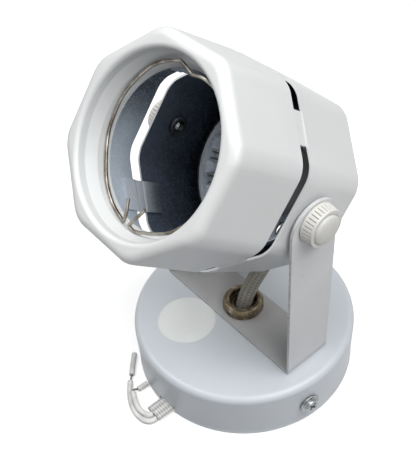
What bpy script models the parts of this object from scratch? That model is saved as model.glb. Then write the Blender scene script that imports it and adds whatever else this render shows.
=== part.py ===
"""Adjustable spotlight: an octagonal lamp head of two pressed shells, tilting in a strip yoke
that swivels on a round canopy. Lengths are in metres, +Z is up, the origin is the middle of the
mounting face under the canopy, and the lamp looks towards -Y."""

import math

import bmesh
import bpy
from mathutils import Matrix, Vector

MM = 0.001

# Clearances
FACE_GAP = 0.3 * MM
HOLE_CLEARANCE = 0.3 * MM

# Facets of round holes and of small turned pieces
HOLE_STEPS = 16
SMALL_STEPS = 12
DISC_STEPS = 32

# Size at which a joint's axis is drawn in Blender
AXIS_MARK = 10.0 * MM

# Canopy, the round cover that hides the ceiling box
CANOPY_DIAMETER = 120.0 * MM
CANOPY_HEIGHT = 30.5 * MM
CANOPY_WALL = 1.0 * MM
CANOPY_EDGE_RADIUS = 3.6 * MM
RIM_BEAD_HEIGHT = 1.8 * MM
RIM_BEAD_DEPTH = 0.5 * MM
CANOPY_STEPS = 44

# Side screws that fix the canopy to the mounting bar
SIDE_SCREW_ANGLE = math.radians(-8.5)
SIDE_SCREW_HEIGHT = 13.9 * MM
SIDE_SCREW_RADIUS = 2.0 * MM
SIDE_SCREW_FLANGE_RADIUS = 5.6 * MM
SIDE_SCREW_FLANGE_THICKNESS = 1.0 * MM
SIDE_SCREW_HEAD_RADIUS = 3.8 * MM
SIDE_SCREW_HEAD_HEIGHT = 2.2 * MM
SIDE_SCREW_LENGTH = 9.0 * MM
SIDE_SCREW_CHAMFER = 0.5 * MM
RECESS_WIDTH = 1.1 * MM
RECESS_DEPTH = 1.3 * MM

# Mounting bar, whose underside lies on the ceiling
BAR_WIDTH = 18.0 * MM
BAR_THICKNESS = 1.5 * MM
BAR_EAR_HEIGHT = 20.0 * MM
BAR_WALL_GAP = 0.9 * MM
BAR_SLOT_NEAR = 17.0 * MM
BAR_SLOT_FAR = 35.0 * MM
BAR_SLOT_RADIUS = 2.4 * MM

# Hollow swivel nipple with its nuts and washer
NIPPLE_RADIUS = 6.5 * MM
NIPPLE_BORE_RADIUS = 5.6 * MM
NIPPLE_ABOVE_YOKE = 2.2 * MM
NIPPLE_BELOW_COVER = 7.0 * MM
SWIVEL_NUT_RADIUS = 11.0 * MM
SWIVEL_NUT_HEIGHT = 5.7 * MM
SWIVEL_NUT_MOUTH_RADIUS = 7.3 * MM
SWIVEL_NUT_SIDE = 2.2 * MM
SWIVEL_NUT_SHOULDER = 2.3 * MM
SWIVEL_NUT_CHAMFER = 0.5 * MM
SWIVEL_NUT_NOTCH = 1.6 * MM
SWIVEL_NUT_NOTCH_DEPTH = 1.2 * MM
LOWER_NUT_RADIUS = 9.2 * MM
LOWER_NUT_HEIGHT = 3.4 * MM
WASHER_RADIUS = 10.0 * MM
WASHER_THICKNESS = 1.0 * MM
SWIVEL_STEPS = 24

# Blank round sticker on the canopy
STICKER_RADIUS = 15.8 * MM
STICKER_THICKNESS = 0.1 * MM
STICKER_GAP = 0.05 * MM
STICKER_X = -0.240 * CANOPY_DIAMETER / 2
STICKER_Y = -0.468 * CANOPY_DIAMETER / 2

# Yoke, one bent strip
YOKE_HEAD_GAP = 1.5 * MM
YOKE_WIDTH = 27.0 * MM
YOKE_THICKNESS = 1.5 * MM
YOKE_BEND_RADIUS = 2.2 * MM
ARM_END_DROP = 3.0 * MM
PIVOT_HEIGHT = 129.1 * MM

# Head: eight flats, two of them upright beside the yoke arms
HEAD_TILT = math.radians(39.3)
HEAD_WALL = 1.0 * MM
HEAD_MOUTH_WIDTH = 91.2 * MM
HEAD_FRONT_WIDTH = HEAD_MOUTH_WIDTH - 2.8 * MM
HEAD_REAR_WIDTH = HEAD_MOUTH_WIDTH - 3.2 * MM
HEAD_CORNER_RADIUS = 12.0 * MM
HEAD_NOSE = 62.0 * MM
HEAD_TAIL = 30.6 * MM
GAP_FRONT = 21.3 * MM
GAP_REAR = 15.0 * MM
NOSE_EDGE_RADIUS = 4.4 * MM
TAIL_EDGE_RADIUS = 3.5 * MM
LIP_RADIUS = 2.0 * MM
LEAST_CORNER_RADIUS = 2.5 * MM
SEAT_CHAMFER = 0.8 * MM
FRONT_RIM_WIDTH = 6.4 * MM
FRONT_THROAT_RADIUS = HEAD_FRONT_WIDTH / 2 - FRONT_RIM_WIDTH
FRONT_SLOPE_TOP = 5.0 * MM
FRONT_SLOPE_FOOT = 10.2 * MM
FRONT_SEAT_STEP = 4.0 * MM
FRONT_SEAT_RADIUS = FRONT_THROAT_RADIUS - FRONT_SEAT_STEP
FRONT_SEAT_WIDTH = 1.9 * MM
FRONT_SEAT_DEPTH = 14.5 * MM
REAR_RIM_WIDTH = 9.2 * MM
REAR_THROAT_RADIUS = HEAD_REAR_WIDTH / 2 - REAR_RIM_WIDTH
REAR_SEAT_STEP = 1.0 * MM
REAR_SEAT_RADIUS = REAR_THROAT_RADIUS - REAR_SEAT_STEP
REAR_SEAT_DEPTH = 16.2 * MM
CORNER_STEPS = 3
EDGE_STEPS = 3

# Joining straps between the two shells
STRAP_WIDTH = 15.0 * MM
STRAP_THICKNESS = 1.0 * MM
STRAP_FRONT_OVERLAP = 7.0 * MM
STRAP_REAR_OVERLAP = 9.0 * MM
STRAP_SIDESTEPS = (0.0, 0.0, 3.0 * MM, 0.0)
STRAP_CROWN_INSET = 0.7 * MM
STRAP_SLOT_GAP = 0.55 * MM

# Wire ring that keeps the lamp or a glass against the front seat
RING_WIRE_DIAMETER = 1.5 * MM
RING_SEAT_CLEARANCE = 0.2 * MM
RING_LEAN = (0.112, 0.070)
RING_SPACING = 4.5 * MM

# Vent ring with punched bridges, seated behind the rear seat
VENT_SHEET = 0.7 * MM
VENT_FLANGE_CLEARANCE = 0.5 * MM
VENT_FLANGE_WIDTH = 2.0 * MM
VENT_BACK_RADIUS = 23.0 * MM
VENT_DEPTH = 15.2 * MM
VENT_COUNT = 16
VENT_BRIDGE_SHARE = 0.6
VENT_SLIT = 0.5 * MM
VENT_RISE = 2.0 * MM
VENT_BRIDGE_ROWS = ((0.12, 0.0), (0.34, 1.0), (0.66, 1.0), (0.88, 0.0), (1.0, 0.0))

# Lampholder and its can
CAN_RADIUS = 22.5 * MM
CAN_WALL = 0.8 * MM
CAN_LENGTH = 14.0 * MM
HOLDER_RADIUS = 19.2 * MM
HOLDER_LENGTH = 33.0 * MM
HOLDER_BORE_RADIUS = 14.4 * MM
HOLDER_FLOOR = 7.0 * MM
HOLDER_CHAMFER = 0.8 * MM
HOLDER_ROUNDING = 2.2 * MM
HOLDER_STEPS = 24
THREAD_STEPS = 16
THREAD_RADIUS = 13.9 * MM
THREAD_DEPTH = 0.8 * MM
THREAD_PITCH = 3.63 * MM
THREAD_TURNS = 5
THREAD_WALL = 0.4 * MM
CONTACT_WIDTH = 6.0 * MM
CONTACT_THICKNESS = 0.6 * MM
CONTACT_RISE = 3.0 * MM
CONTACT_CLEARANCE = 0.9 * MM
HOLDER_SCREW_RADIUS = 1.5 * MM
HOLDER_SCREW_HEAD_RADIUS = 2.8 * MM
HOLDER_SCREW_HEAD_HEIGHT = 1.8 * MM
HOLDER_SCREW_DOME = 0.7 * MM
HOLDER_SCREW_DEPTH = 4.0 * MM
HOLDER_SCREW_PLACE = 13.5 * MM
BUSH_RADIUS = 5.7 * MM
BUSH_FLANGE_RADIUS = 7.6 * MM
BUSH_FLANGE_THICKNESS = 1.6 * MM
BUSH_CHAMFER = 0.8 * MM

# Tilt pivot: bosses in the rear shell, knob studs through the yoke arms
STUD_RADIUS = 2.4 * MM
STUD_INWARD = 6.0 * MM
STUD_CHAMFER = 0.6 * MM
BOSS_NECK_RADIUS = 3.9 * MM
BOSS_FLANGE_RADIUS = 5.0 * MM
BOSS_FLANGE_THICKNESS = 1.8 * MM
KNOB_RADIUS = 9.9 * MM
KNOB_FACE_RADIUS = 9.1 * MM
KNOB_THICKNESS = 6.1 * MM
KNOB_FLUTES = 32
KNOB_FLUTE_DEPTH = 0.45 * MM
KNOB_COLLAR = 1.1 * MM
KNOB_RIM = 0.9 * MM
KNOB_POCKET_DEPTH = 3.0 * MM
KNOB_CAP_RADIUS = 7.1 * MM
KNOB_CAP_RISE = 1.8 * MM
KNOB_CAP_LIFT = 0.2 * MM
KNOB_CAP_STEPS = 5

# Braided sleeves and the supply wires
SLEEVE_DIAMETER = 8.6 * MM
SLEEVE_SIDES = 12
SLEEVE_STRAIGHT = 1.0 * MM
SLEEVE_LOOP_RADIUS = 2.05 * SLEEVE_DIAMETER
SLEEVE_LOOP_SWEEP = math.radians(95.0)
SLEEVE_LOOP_POINTS = 6
SUPPLY_SLEEVE_WIDTH = 10.6 * MM
SUPPLY_SLEEVE_THICKNESS = 3.8 * MM
WIRE_DIAMETER = 3.0 * MM
STRAND_DIAMETER = 1.2 * MM
RIM_NOTCH_CLEARANCE = 0.5 * MM
RIM_NOTCH_REACH = 8.0 * MM

# Places that several pieces share
CANOPY_RADIUS = CANOPY_DIAMETER / 2
YOKE_BOTTOM = CANOPY_HEIGHT + FACE_GAP
YOKE_TOP_FACE = YOKE_BOTTOM + YOKE_THICKNESS
NIPPLE_TOP = YOKE_TOP_FACE + NIPPLE_ABOVE_YOKE
NIPPLE_BOTTOM = CANOPY_HEIGHT - CANOPY_WALL - NIPPLE_BELOW_COVER
ARM_INNER = HEAD_MOUTH_WIDTH / 2 + YOKE_HEAD_GAP
ARM_OUTER = ARM_INNER + YOKE_THICKNESS
STUD_TIP = ARM_INNER - STUD_INWARD
FRONT_SEAT_WALL = FRONT_SEAT_RADIUS + FRONT_SEAT_WIDTH
VENT_SEAT = -HEAD_TAIL + REAR_SEAT_DEPTH - SEAT_CHAMFER
VENT_BACK = VENT_SEAT - VENT_DEPTH
VENT_FLOOR_RADIUS = HOLDER_RADIUS + 2 * HOLE_CLEARANCE
CAN_FRONT = VENT_BACK - VENT_SHEET - FACE_GAP
CAN_BACK = CAN_FRONT - CAN_LENGTH
HOLDER_BACK = CAN_BACK + CAN_WALL + FACE_GAP
HOLDER_FRONT = HOLDER_BACK + HOLDER_LENGTH
SLEEVE_RADIUS = SLEEVE_DIAMETER / 2
VENT_FLANGE_RADIUS = REAR_THROAT_RADIUS - VENT_FLANGE_CLEARANCE
VENT_MOUTH_RADIUS = VENT_FLANGE_RADIUS - VENT_FLANGE_WIDTH

# Hand-chosen middle lines, each point as x, y and z in millimetres. The foot of the lamp sleeve is
# measured from the nipple's top, the top of the supply sleeve from the nipple's bottom, and the
# ring's route gives x, up and the height above the ring's own leaning plane.
LAMP_SLEEVE_FOOT = (
    (0.0, 0.0, -7.0), (0.0, 0.3, -2.5), (0.0, 2.0, 3.0), (0.0, 5.3, 8.5), (0.3, 9.8, 14.2),
    (0.6, 15.2, 19.8),
)
RING_ROUTE = (
    (9.1, -23.0, 2.0), (4.4, -30.6, 1.3), (3.2, -32.3, 1.0), (2.1, -33.6, 0.5), (3.6, -34.3, 0.0),
    (8.6, -33.3, 0.0), (22.8, -25.4, -0.9), (28.4, -18.6, -2.6), (31.6, -13.0, -3.3), (34.9, 0.0, -4.2),
    (32.6, 12.0, -5.2), (25.3, 23.6, -6.0), (16.7, 30.7, -4.4), (10.4, 33.5, 0.0), (4.2, 32.7, 0.0),
    (2.6, 32.3, 0.0),
    (0.9, 32.7, 0.0), (-6.2, 34.3, 0.0), (-8.3, 33.9, 0.0), (-16.2, 30.5, 0.0), (-24.0, 24.4, 0.0),
    (-32.0, 11.7, 0.0), (-34.0, 0.0, 0.0), (-32.4, -10.6, 0.0), (-24.2, -24.1, 0.0),
    (-14.5, -31.2, 0.0), (-4.2, -34.2, 0.0), (-2.2, -34.1, 0.3), (-1.4, -33.2, 0.9),
    (-1.3, -29.5, 1.5), (-2.9, -24.2, 2.0),
)
SUPPLY_SLEEVE_TOP = ((0.0, 0.0, -0.1), (0.0, 0.0, -3.1))
SUPPLY_SLEEVE_ROUTE = (
    (0.2, -1.9, 14.8), (0.7, -6.6, 10.8), (1.3, -13.5, 7.9), (2.0, -22.0, 5.6), (2.8, -31.0, 4.0),
    (3.5, -42.0, 2.7), (3.8, -52.0, 2.2), (3.8, -60.5, 2.1), (3.8, -68.6, 2.1),
)
SUPPLY_SLEEVE_FLATNESS = (0.0, 0.0, 0.0, 0.1, 0.35, 0.65, 0.9, 1.0, 1.0, 1.0, 1.0)
WIRE_1_ROUTE = (
    (6.8, -68.95, 1.9), (6.4, -71.6, 1.6), (4.5, -73.8, 1.52), (1.2, -75.0, 1.52),
    (-2.8, -75.1, 1.52), (-7.0, -74.3, 1.52), (-11.0, -72.7, 1.52), (-14.8, -70.5, 1.52),
    (-18.4, -68.0, 1.52), (-21.6, -65.3, 1.52),
)
WIRE_2_ROUTE = (
    (3.5, -69.15, 1.9), (3.1, -70.5, 2.2), (1.9, -71.8, 2.9), (0.0, -72.8, 3.6),
    (-2.4, -73.1, 4.1), (-5.6, -72.5, 4.15), (-9.2, -71.2, 4.15), (-13.2, -69.2, 4.1),
)
STRANDS_1_ROUTE = ((-21.85, -65.07, 1.52), (-23.1, -63.8, 1.52), (-24.3, -62.5, 1.52))
STRANDS_2_ROUTE = (
    (-13.5, -69.03, 4.05), (-14.6, -68.3, 3.6), (-14.9, -67.2, 2.8), (-14.75, -66.1, 2.0),
    (-14.6, -65.6, 1.75),
)
SLUG_1_ROUTE = ((-24.52, -62.26, 1.52), (-30.0, -57.4, 1.52), (-35.2, -52.5, 1.52))
SLUG_2_ROUTE = ((-14.57, -65.2, 1.52), (-14.4, -62.1, 1.52), (-14.3, -59.0, 1.52))


def clear_scene():
    for item in list(bpy.data.objects):
        bpy.data.objects.remove(item, do_unlink=True)


def material(name, colour, roughness, metallic=0.0):
    found = bpy.data.materials.get(name) or bpy.data.materials.new(name)
    found.use_nodes = True
    shader = found.node_tree.nodes["Principled BSDF"]
    shader.inputs["Base Color"].default_value = (*colour, 1.0)
    shader.inputs["Roughness"].default_value = roughness
    shader.inputs["Metallic"].default_value = metallic
    return found


def white_enamel():
    return material("white_enamel", (0.80, 0.82, 0.84), 0.25)


def zinc_steel():
    return material("zinc_steel", (0.55, 0.56, 0.56), 0.35, 1.0)


def aged_brass():
    return material("aged_brass", (0.32, 0.26, 0.20), 0.40, 1.0)


def spring_steel():
    return material("spring_steel", (0.50, 0.45, 0.40), 0.30, 1.0)


def warm_plastic():
    return material("warm_white_plastic", (0.78, 0.77, 0.74), 0.45)


def grey_sheet():
    return material("grey_vent_sheet", (0.40, 0.44, 0.50), 0.40, 0.6)


def porcelain():
    return material("lampholder_porcelain", (0.85, 0.81, 0.72), 0.30)


def glass_braid():
    return material("glass_fibre_braid", (0.52, 0.50, 0.45), 0.85)


def wire_rubber():
    return material("white_wire_rubber", (0.80, 0.80, 0.78), 0.50)


def bare_copper():
    return material("tinned_strands", (0.35, 0.33, 0.30), 0.40, 1.0)


def sticker_paper():
    return material("sticker_paper", (0.86, 0.88, 0.86), 0.50)


def fit_axis(name, parent=None, place=(0, 0, 0), turn=(0, 0, 0)):
    """An empty on a joint's axis, which carries the pieces that move with it."""
    axis = bpy.data.objects.new(name, None)
    axis.location = place
    axis.rotation_euler = turn
    axis.empty_display_size = AXIS_MARK
    axis.parent = parent
    bpy.context.scene.collection.objects.link(axis)
    return axis


def add_piece(name, shape, finish, parent=None, sharp=35.0):
    """Turns a bmesh, or a mesh that another piece already uses, into a named piece."""
    if isinstance(shape, bmesh.types.BMesh):
        bmesh.ops.recalc_face_normals(shape, faces=shape.faces)
        mesh = bpy.data.meshes.new(name)
        shape.to_mesh(mesh)
        shape.free()
        mesh.materials.append(finish)
        mesh.shade_smooth()
        mesh.set_sharp_from_angle(angle=math.radians(sharp))
    else:
        mesh = shape
    piece = bpy.data.objects.new(name, mesh)
    piece.parent = parent
    bpy.context.scene.collection.objects.link(piece)
    return piece


def add_cutter(name, shape, parent=None):
    cutter = add_piece(name, shape, white_enamel(), parent)
    cutter.hide_render = True
    cutter.display_type = "WIRE"
    return cutter


def cut(piece, cutter):
    boolean = piece.modifiers.new("cut_" + cutter.name, "BOOLEAN")
    boolean.operation = "DIFFERENCE"
    boolean.solver = "EXACT"
    boolean.object = cutter


def loft(rings, joined=False):
    """Joins rings of equal count one after another. Joined, the last meets the first again."""
    shape = bmesh.new()
    rows = [[shape.verts.new(point) for point in ring] for ring in rings]
    pairs = list(zip(rows, rows[1:]))
    if joined:
        pairs.append((rows[-1], rows[0]))
    for low, high in pairs:
        for i in range(len(low)):
            j = (i + 1) % len(low)
            shape.faces.new((low[i], low[j], high[j], high[i]))
    if not joined:
        shape.faces.new(rows[0])
        shape.faces.new(rows[-1])
    return shape


def circle(radius, height, steps, start=0.0):
    turns = [start + 2 * math.pi * i / steps for i in range(steps)]
    return [Vector((radius * math.cos(a), radius * math.sin(a), height)) for a in turns]


def turned(profile, steps, joined=False):
    """A turned piece from (radius, height) pairs. Joined, it is a ring with a hole."""
    return loft([circle(radius, height, steps) for radius, height in profile], joined)


def arc(centre, radius, start, end, steps):
    """Points (across, along) of an arc, angles in degrees."""
    angles = [math.radians(start + (end - start) * i / steps) for i in range(steps + 1)]
    return [(centre[0] + radius * math.cos(a), centre[1] + radius * math.sin(a)) for a in angles]


def extruded(outline, direction, distance):
    """A solid whose flat outline is pushed along a direction, half to each side."""
    step = Vector(direction) * (distance / 2)
    return loft([[Vector(p) - step for p in outline], [Vector(p) + step for p in outline]])


def block(low, high):
    shape = bmesh.new()
    bmesh.ops.create_cube(shape, size=1.0)
    size = Vector(high) - Vector(low)
    middle = (Vector(high) + Vector(low)) / 2
    bmesh.ops.scale(shape, vec=size, verts=shape.verts)
    bmesh.ops.translate(shape, vec=middle, verts=shape.verts)
    return shape


def add_shape(shape, other):
    """Adds a second closed body to a cutter."""
    spare = bpy.data.meshes.new("spare")
    bmesh.ops.recalc_face_normals(other, faces=other.faces)
    other.to_mesh(spare)
    other.free()
    bmesh.ops.recalc_face_normals(shape, faces=shape.faces)
    shape.from_mesh(spare)
    bpy.data.meshes.remove(spare)


def in_metres(route, height=0.0):
    """A route in millimetres as points in metres, lifted by a height."""
    return [Vector(p) * MM + Vector((0, 0, height)) for p in route]


def smooth_points(points, spacing):
    """Points about one spacing apart on a smooth curve through the given points."""
    ends = [2 * points[0] - points[1]] + points + [2 * points[-1] - points[-2]]
    found = []
    for a, b, c, d in zip(ends, ends[1:], ends[2:], ends[3:]):
        parts = max(1, round((c - b).length / spacing))
        for i in range(parts):
            t = i / parts
            found.append(
                0.5 * (2 * b + (c - a) * t + (2 * a - 5 * b + 4 * c - d) * t**2
                       + (3 * b - a - 3 * c + d) * t**3)
            )
    return found + [points[-1]]


def tube(name, points, diameter, finish, parent=None, sides=8):
    """A round wire as a curve with a bevel and filled caps. Sides is 4 plus twice its resolution."""
    curve = bpy.data.curves.new(name, "CURVE")
    curve.dimensions = "3D"
    curve.bevel_depth = diameter / 2
    curve.bevel_resolution = (sides - 4) // 2
    curve.use_fill_caps = True
    spline = curve.splines.new("POLY")
    spline.points.add(len(points) - 1)
    for target, point in zip(spline.points, points):
        target.co = (*point, 1.0)
        target.radius = 1.0
    curve.materials.append(finish)
    piece = bpy.data.objects.new(name, curve)
    piece.parent = parent
    bpy.context.scene.collection.objects.link(piece)
    return piece


def swept_sleeve(points, widths, heights, across):
    """A tube whose section may flatten along its way. Across is the direction of its width."""
    rings = []
    for i, point in enumerate(points):
        before = points[max(i - 1, 0)]
        after = points[min(i + 1, len(points) - 1)]
        along = (after - before).normalized()
        side = (Vector(across) - along * along.dot(Vector(across))).normalized()
        rise = along.cross(side)
        ring = []
        for k in range(SLEEVE_SIDES):
            a = 2 * math.pi * k / SLEEVE_SIDES
            offset = side * (widths[i] / 2 * math.cos(a)) + rise * (heights[i] / 2 * math.sin(a))
            ring.append(point + offset)
        rings.append(ring)
    return loft(rings)


def make_canopy_cover():
    r = CANOPY_RADIUS
    e = CANOPY_EDGE_RADIUS
    wall = CANOPY_WALL
    bore = NIPPLE_RADIUS + HOLE_CLEARANCE
    outside = [(r - RIM_BEAD_DEPTH, 0.0), (r, 0.4 * RIM_BEAD_HEIGHT),
               (r - 0.5 * RIM_BEAD_DEPTH, RIM_BEAD_HEIGHT)]
    side = r - 0.5 * RIM_BEAD_DEPTH
    outside += arc((side - e, CANOPY_HEIGHT - e), e, 0, 90, 3)
    outside += [(bore, CANOPY_HEIGHT)]
    inside = [(bore, CANOPY_HEIGHT - wall)]
    inside += arc((side - e, CANOPY_HEIGHT - e), e - wall, 90, 0, 2)
    inside += [(side - wall, 0.0)]
    cover = add_piece("canopy_cover", turned(outside + inside, CANOPY_STEPS, joined=True),
                      white_enamel())
    cut(cover, side_hole_cutter("canopy_side_hole_cutter", SIDE_SCREW_RADIUS + HOLE_CLEARANCE))
    cut(cover, rim_notch_cutter())
    return cover


def side_hole_cutter(name, radius):
    """One round bar through both side holes."""
    bar = turned([(radius, -CANOPY_DIAMETER), (radius, CANOPY_DIAMETER)], HOLE_STEPS)
    turn = Matrix.Rotation(SIDE_SCREW_ANGLE, 4, "Z") @ Matrix.Rotation(math.radians(90), 4, "Y")
    bmesh.ops.transform(bar, matrix=Matrix.Translation((0, 0, SIDE_SCREW_HEIGHT)) @ turn,
                        verts=bar.verts)
    return add_cutter(name, bar)


def rim_notch_cutter():
    """The notch that lets the flat supply sleeve out under the rim."""
    middle = SUPPLY_SLEEVE_ROUTE[-1]
    half = SUPPLY_SLEEVE_WIDTH / 2 + RIM_NOTCH_CLEARANCE
    top = middle[2] * MM + SUPPLY_SLEEVE_THICKNESS / 2 + RIM_NOTCH_CLEARANCE
    low = (middle[0] * MM - half, -CANOPY_RADIUS - RIM_NOTCH_REACH, -RIM_NOTCH_REACH)
    high = (middle[0] * MM + half, -CANOPY_RADIUS + RIM_NOTCH_REACH, top)
    return add_cutter("rim_notch_cutter", block(low, high))


def make_mounting_bar():
    reach = CANOPY_RADIUS - 0.5 * RIM_BEAD_DEPTH - CANOPY_WALL - BAR_WALL_GAP
    t = BAR_THICKNESS
    outline = [(-reach, 0), (reach, 0), (reach, BAR_EAR_HEIGHT), (reach - t, BAR_EAR_HEIGHT),
               (reach - t, t), (-reach + t, t), (-reach + t, BAR_EAR_HEIGHT),
               (-reach, BAR_EAR_HEIGHT)]
    bar = extruded([(x, 0, z) for x, z in outline], (0, 1, 0), BAR_WIDTH)
    bmesh.ops.rotate(bar, matrix=Matrix.Rotation(SIDE_SCREW_ANGLE, 3, "Z"), verts=bar.verts)
    piece = add_piece("mounting_bar", bar, zinc_steel())
    cut(piece, side_hole_cutter("bar_thread_cutter", SIDE_SCREW_RADIUS + HOLE_CLEARANCE))
    cut(piece, bar_slot_cutter())
    return piece


def bar_slot_cutter():
    """Two slots for the fixing screws, one on each side of the solid middle."""
    slots = None
    middle = (BAR_SLOT_NEAR + BAR_SLOT_FAR) / 2
    half = (BAR_SLOT_FAR - BAR_SLOT_NEAR) / 2
    for side in (-1, 1):
        outline = arc((half, 0), BAR_SLOT_RADIUS, -90, 90, 6)
        outline += arc((-half, 0), BAR_SLOT_RADIUS, 90, 270, 6)
        points = [(x + side * middle, y, BAR_THICKNESS / 2) for x, y in outline]
        slot = extruded(points, (0, 0, 1), 4 * BAR_THICKNESS)
        bmesh.ops.rotate(slot, matrix=Matrix.Rotation(SIDE_SCREW_ANGLE, 3, "Z"), verts=slot.verts)
        if slots:
            add_shape(slots, slot)
        else:
            slots = slot
    return add_cutter("bar_slot_cutter", slots)


def make_side_screws():
    flange = SIDE_SCREW_FLANGE_THICKNESS
    head = flange + SIDE_SCREW_HEAD_HEIGHT
    profile = [(SIDE_SCREW_RADIUS, -SIDE_SCREW_LENGTH), (SIDE_SCREW_RADIUS, 0.0),
               (SIDE_SCREW_FLANGE_RADIUS, 0.0), (SIDE_SCREW_FLANGE_RADIUS, 0.6 * flange),
               (SIDE_SCREW_FLANGE_RADIUS - SIDE_SCREW_CHAMFER, flange),
               (SIDE_SCREW_HEAD_RADIUS, flange),
               (0.93 * SIDE_SCREW_HEAD_RADIUS, flange + 0.6 * SIDE_SCREW_HEAD_HEIGHT),
               (0.62 * SIDE_SCREW_HEAD_RADIUS, head)]
    seat = CANOPY_RADIUS + FACE_GAP
    half = RECESS_WIDTH / 2
    arm = 0.6 * SIDE_SCREW_HEAD_RADIUS
    for name, angle in (("right", SIDE_SCREW_ANGLE), ("left", SIDE_SCREW_ANGLE + math.pi)):
        axis = fit_axis("canopy_screw_axis_" + name, None,
                        (seat * math.cos(angle), seat * math.sin(angle), SIDE_SCREW_HEIGHT),
                        (0, math.radians(90), angle))
        screw = add_piece("canopy_screw_" + name, turned(profile, HOLE_STEPS), zinc_steel(), axis)
        cross = block((-arm, -half, head - RECESS_DEPTH), (arm, half, head + RECESS_DEPTH))
        other = block((-half, -arm, head - RECESS_DEPTH), (half, arm, head + RECESS_DEPTH))
        cut(screw, add_cutter("recess_cutter_%s_1" % name, cross, axis))
        cut(screw, add_cutter("recess_cutter_%s_2" % name, other, axis))


def make_swivel():
    nipple = [(NIPPLE_RADIUS, NIPPLE_BOTTOM), (NIPPLE_RADIUS, NIPPLE_TOP),
              (NIPPLE_BORE_RADIUS, NIPPLE_TOP), (NIPPLE_BORE_RADIUS, NIPPLE_BOTTOM)]
    add_piece("swivel_nipple", turned(nipple, SWIVEL_STEPS, joined=True), aged_brass())

    bore = NIPPLE_RADIUS + HOLE_CLEARANCE
    low = YOKE_TOP_FACE + FACE_GAP
    high = low + SWIVEL_NUT_HEIGHT
    r = SWIVEL_NUT_RADIUS
    mouth = SWIVEL_NUT_MOUTH_RADIUS
    chamfer = SWIVEL_NUT_CHAMFER
    nut = [(r - chamfer, low), (r, low + chamfer)]
    for turn in (0, 30, 60, 90):
        a = math.radians(turn)
        nut.append((r - SWIVEL_NUT_SHOULDER * (1 - math.cos(a)),
                    low + SWIVEL_NUT_SIDE + (SWIVEL_NUT_HEIGHT - SWIVEL_NUT_SIDE) * math.sin(a)))
    nut += [(mouth + chamfer, high), (mouth, high - chamfer), (mouth, NIPPLE_TOP + chamfer),
            (bore, NIPPLE_TOP), (bore, low)]
    piece = add_piece("swivel_nut", turned(nut, SWIVEL_STEPS, joined=True), aged_brass())
    half = SWIVEL_NUT_NOTCH / 2
    inner = r - SWIVEL_NUT_NOTCH_DEPTH
    top = low + SWIVEL_NUT_SIDE + half
    notch = block((-half, -2 * r, low + half), (half, -inner, top))
    add_shape(notch, block((-half, inner, low + half), (half, 2 * r, top)))
    cut(piece, add_cutter("swivel_nut_notch_cutter", notch))

    washer_top = CANOPY_HEIGHT - CANOPY_WALL - FACE_GAP
    washer_low = washer_top - WASHER_THICKNESS
    washer = [(WASHER_RADIUS, washer_low), (WASHER_RADIUS, washer_top), (bore, washer_top),
              (bore, washer_low)]
    add_piece("swivel_washer", turned(washer, SWIVEL_STEPS, joined=True), zinc_steel())

    nut_top = washer_low - FACE_GAP
    nut_low = nut_top - LOWER_NUT_HEIGHT
    rings = []
    for radius, height in ((LOWER_NUT_RADIUS, nut_low), (LOWER_NUT_RADIUS, nut_top)):
        flat = radius * math.cos(math.radians(30))
        ring = []
        for point in circle(1.0, height, SWIVEL_STEPS):
            a = math.atan2(point.y, point.x)
            reach = flat / math.cos((a % math.radians(60)) - math.radians(30))
            ring.append(Vector((reach * point.x, reach * point.y, height)))
        rings.append(ring)
    rings += [circle(bore, nut_top, SWIVEL_STEPS), circle(bore, nut_low, SWIVEL_STEPS)]
    add_piece("swivel_lower_nut", loft(rings, joined=True), zinc_steel())


def make_sticker():
    low = CANOPY_HEIGHT + STICKER_GAP
    disc = turned([(STICKER_RADIUS, low), (STICKER_RADIUS, low + STICKER_THICKNESS)], DISC_STEPS)
    bmesh.ops.translate(disc, vec=(STICKER_X, STICKER_Y, 0), verts=disc.verts)
    add_piece("blank_sticker", disc, sticker_paper())


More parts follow.
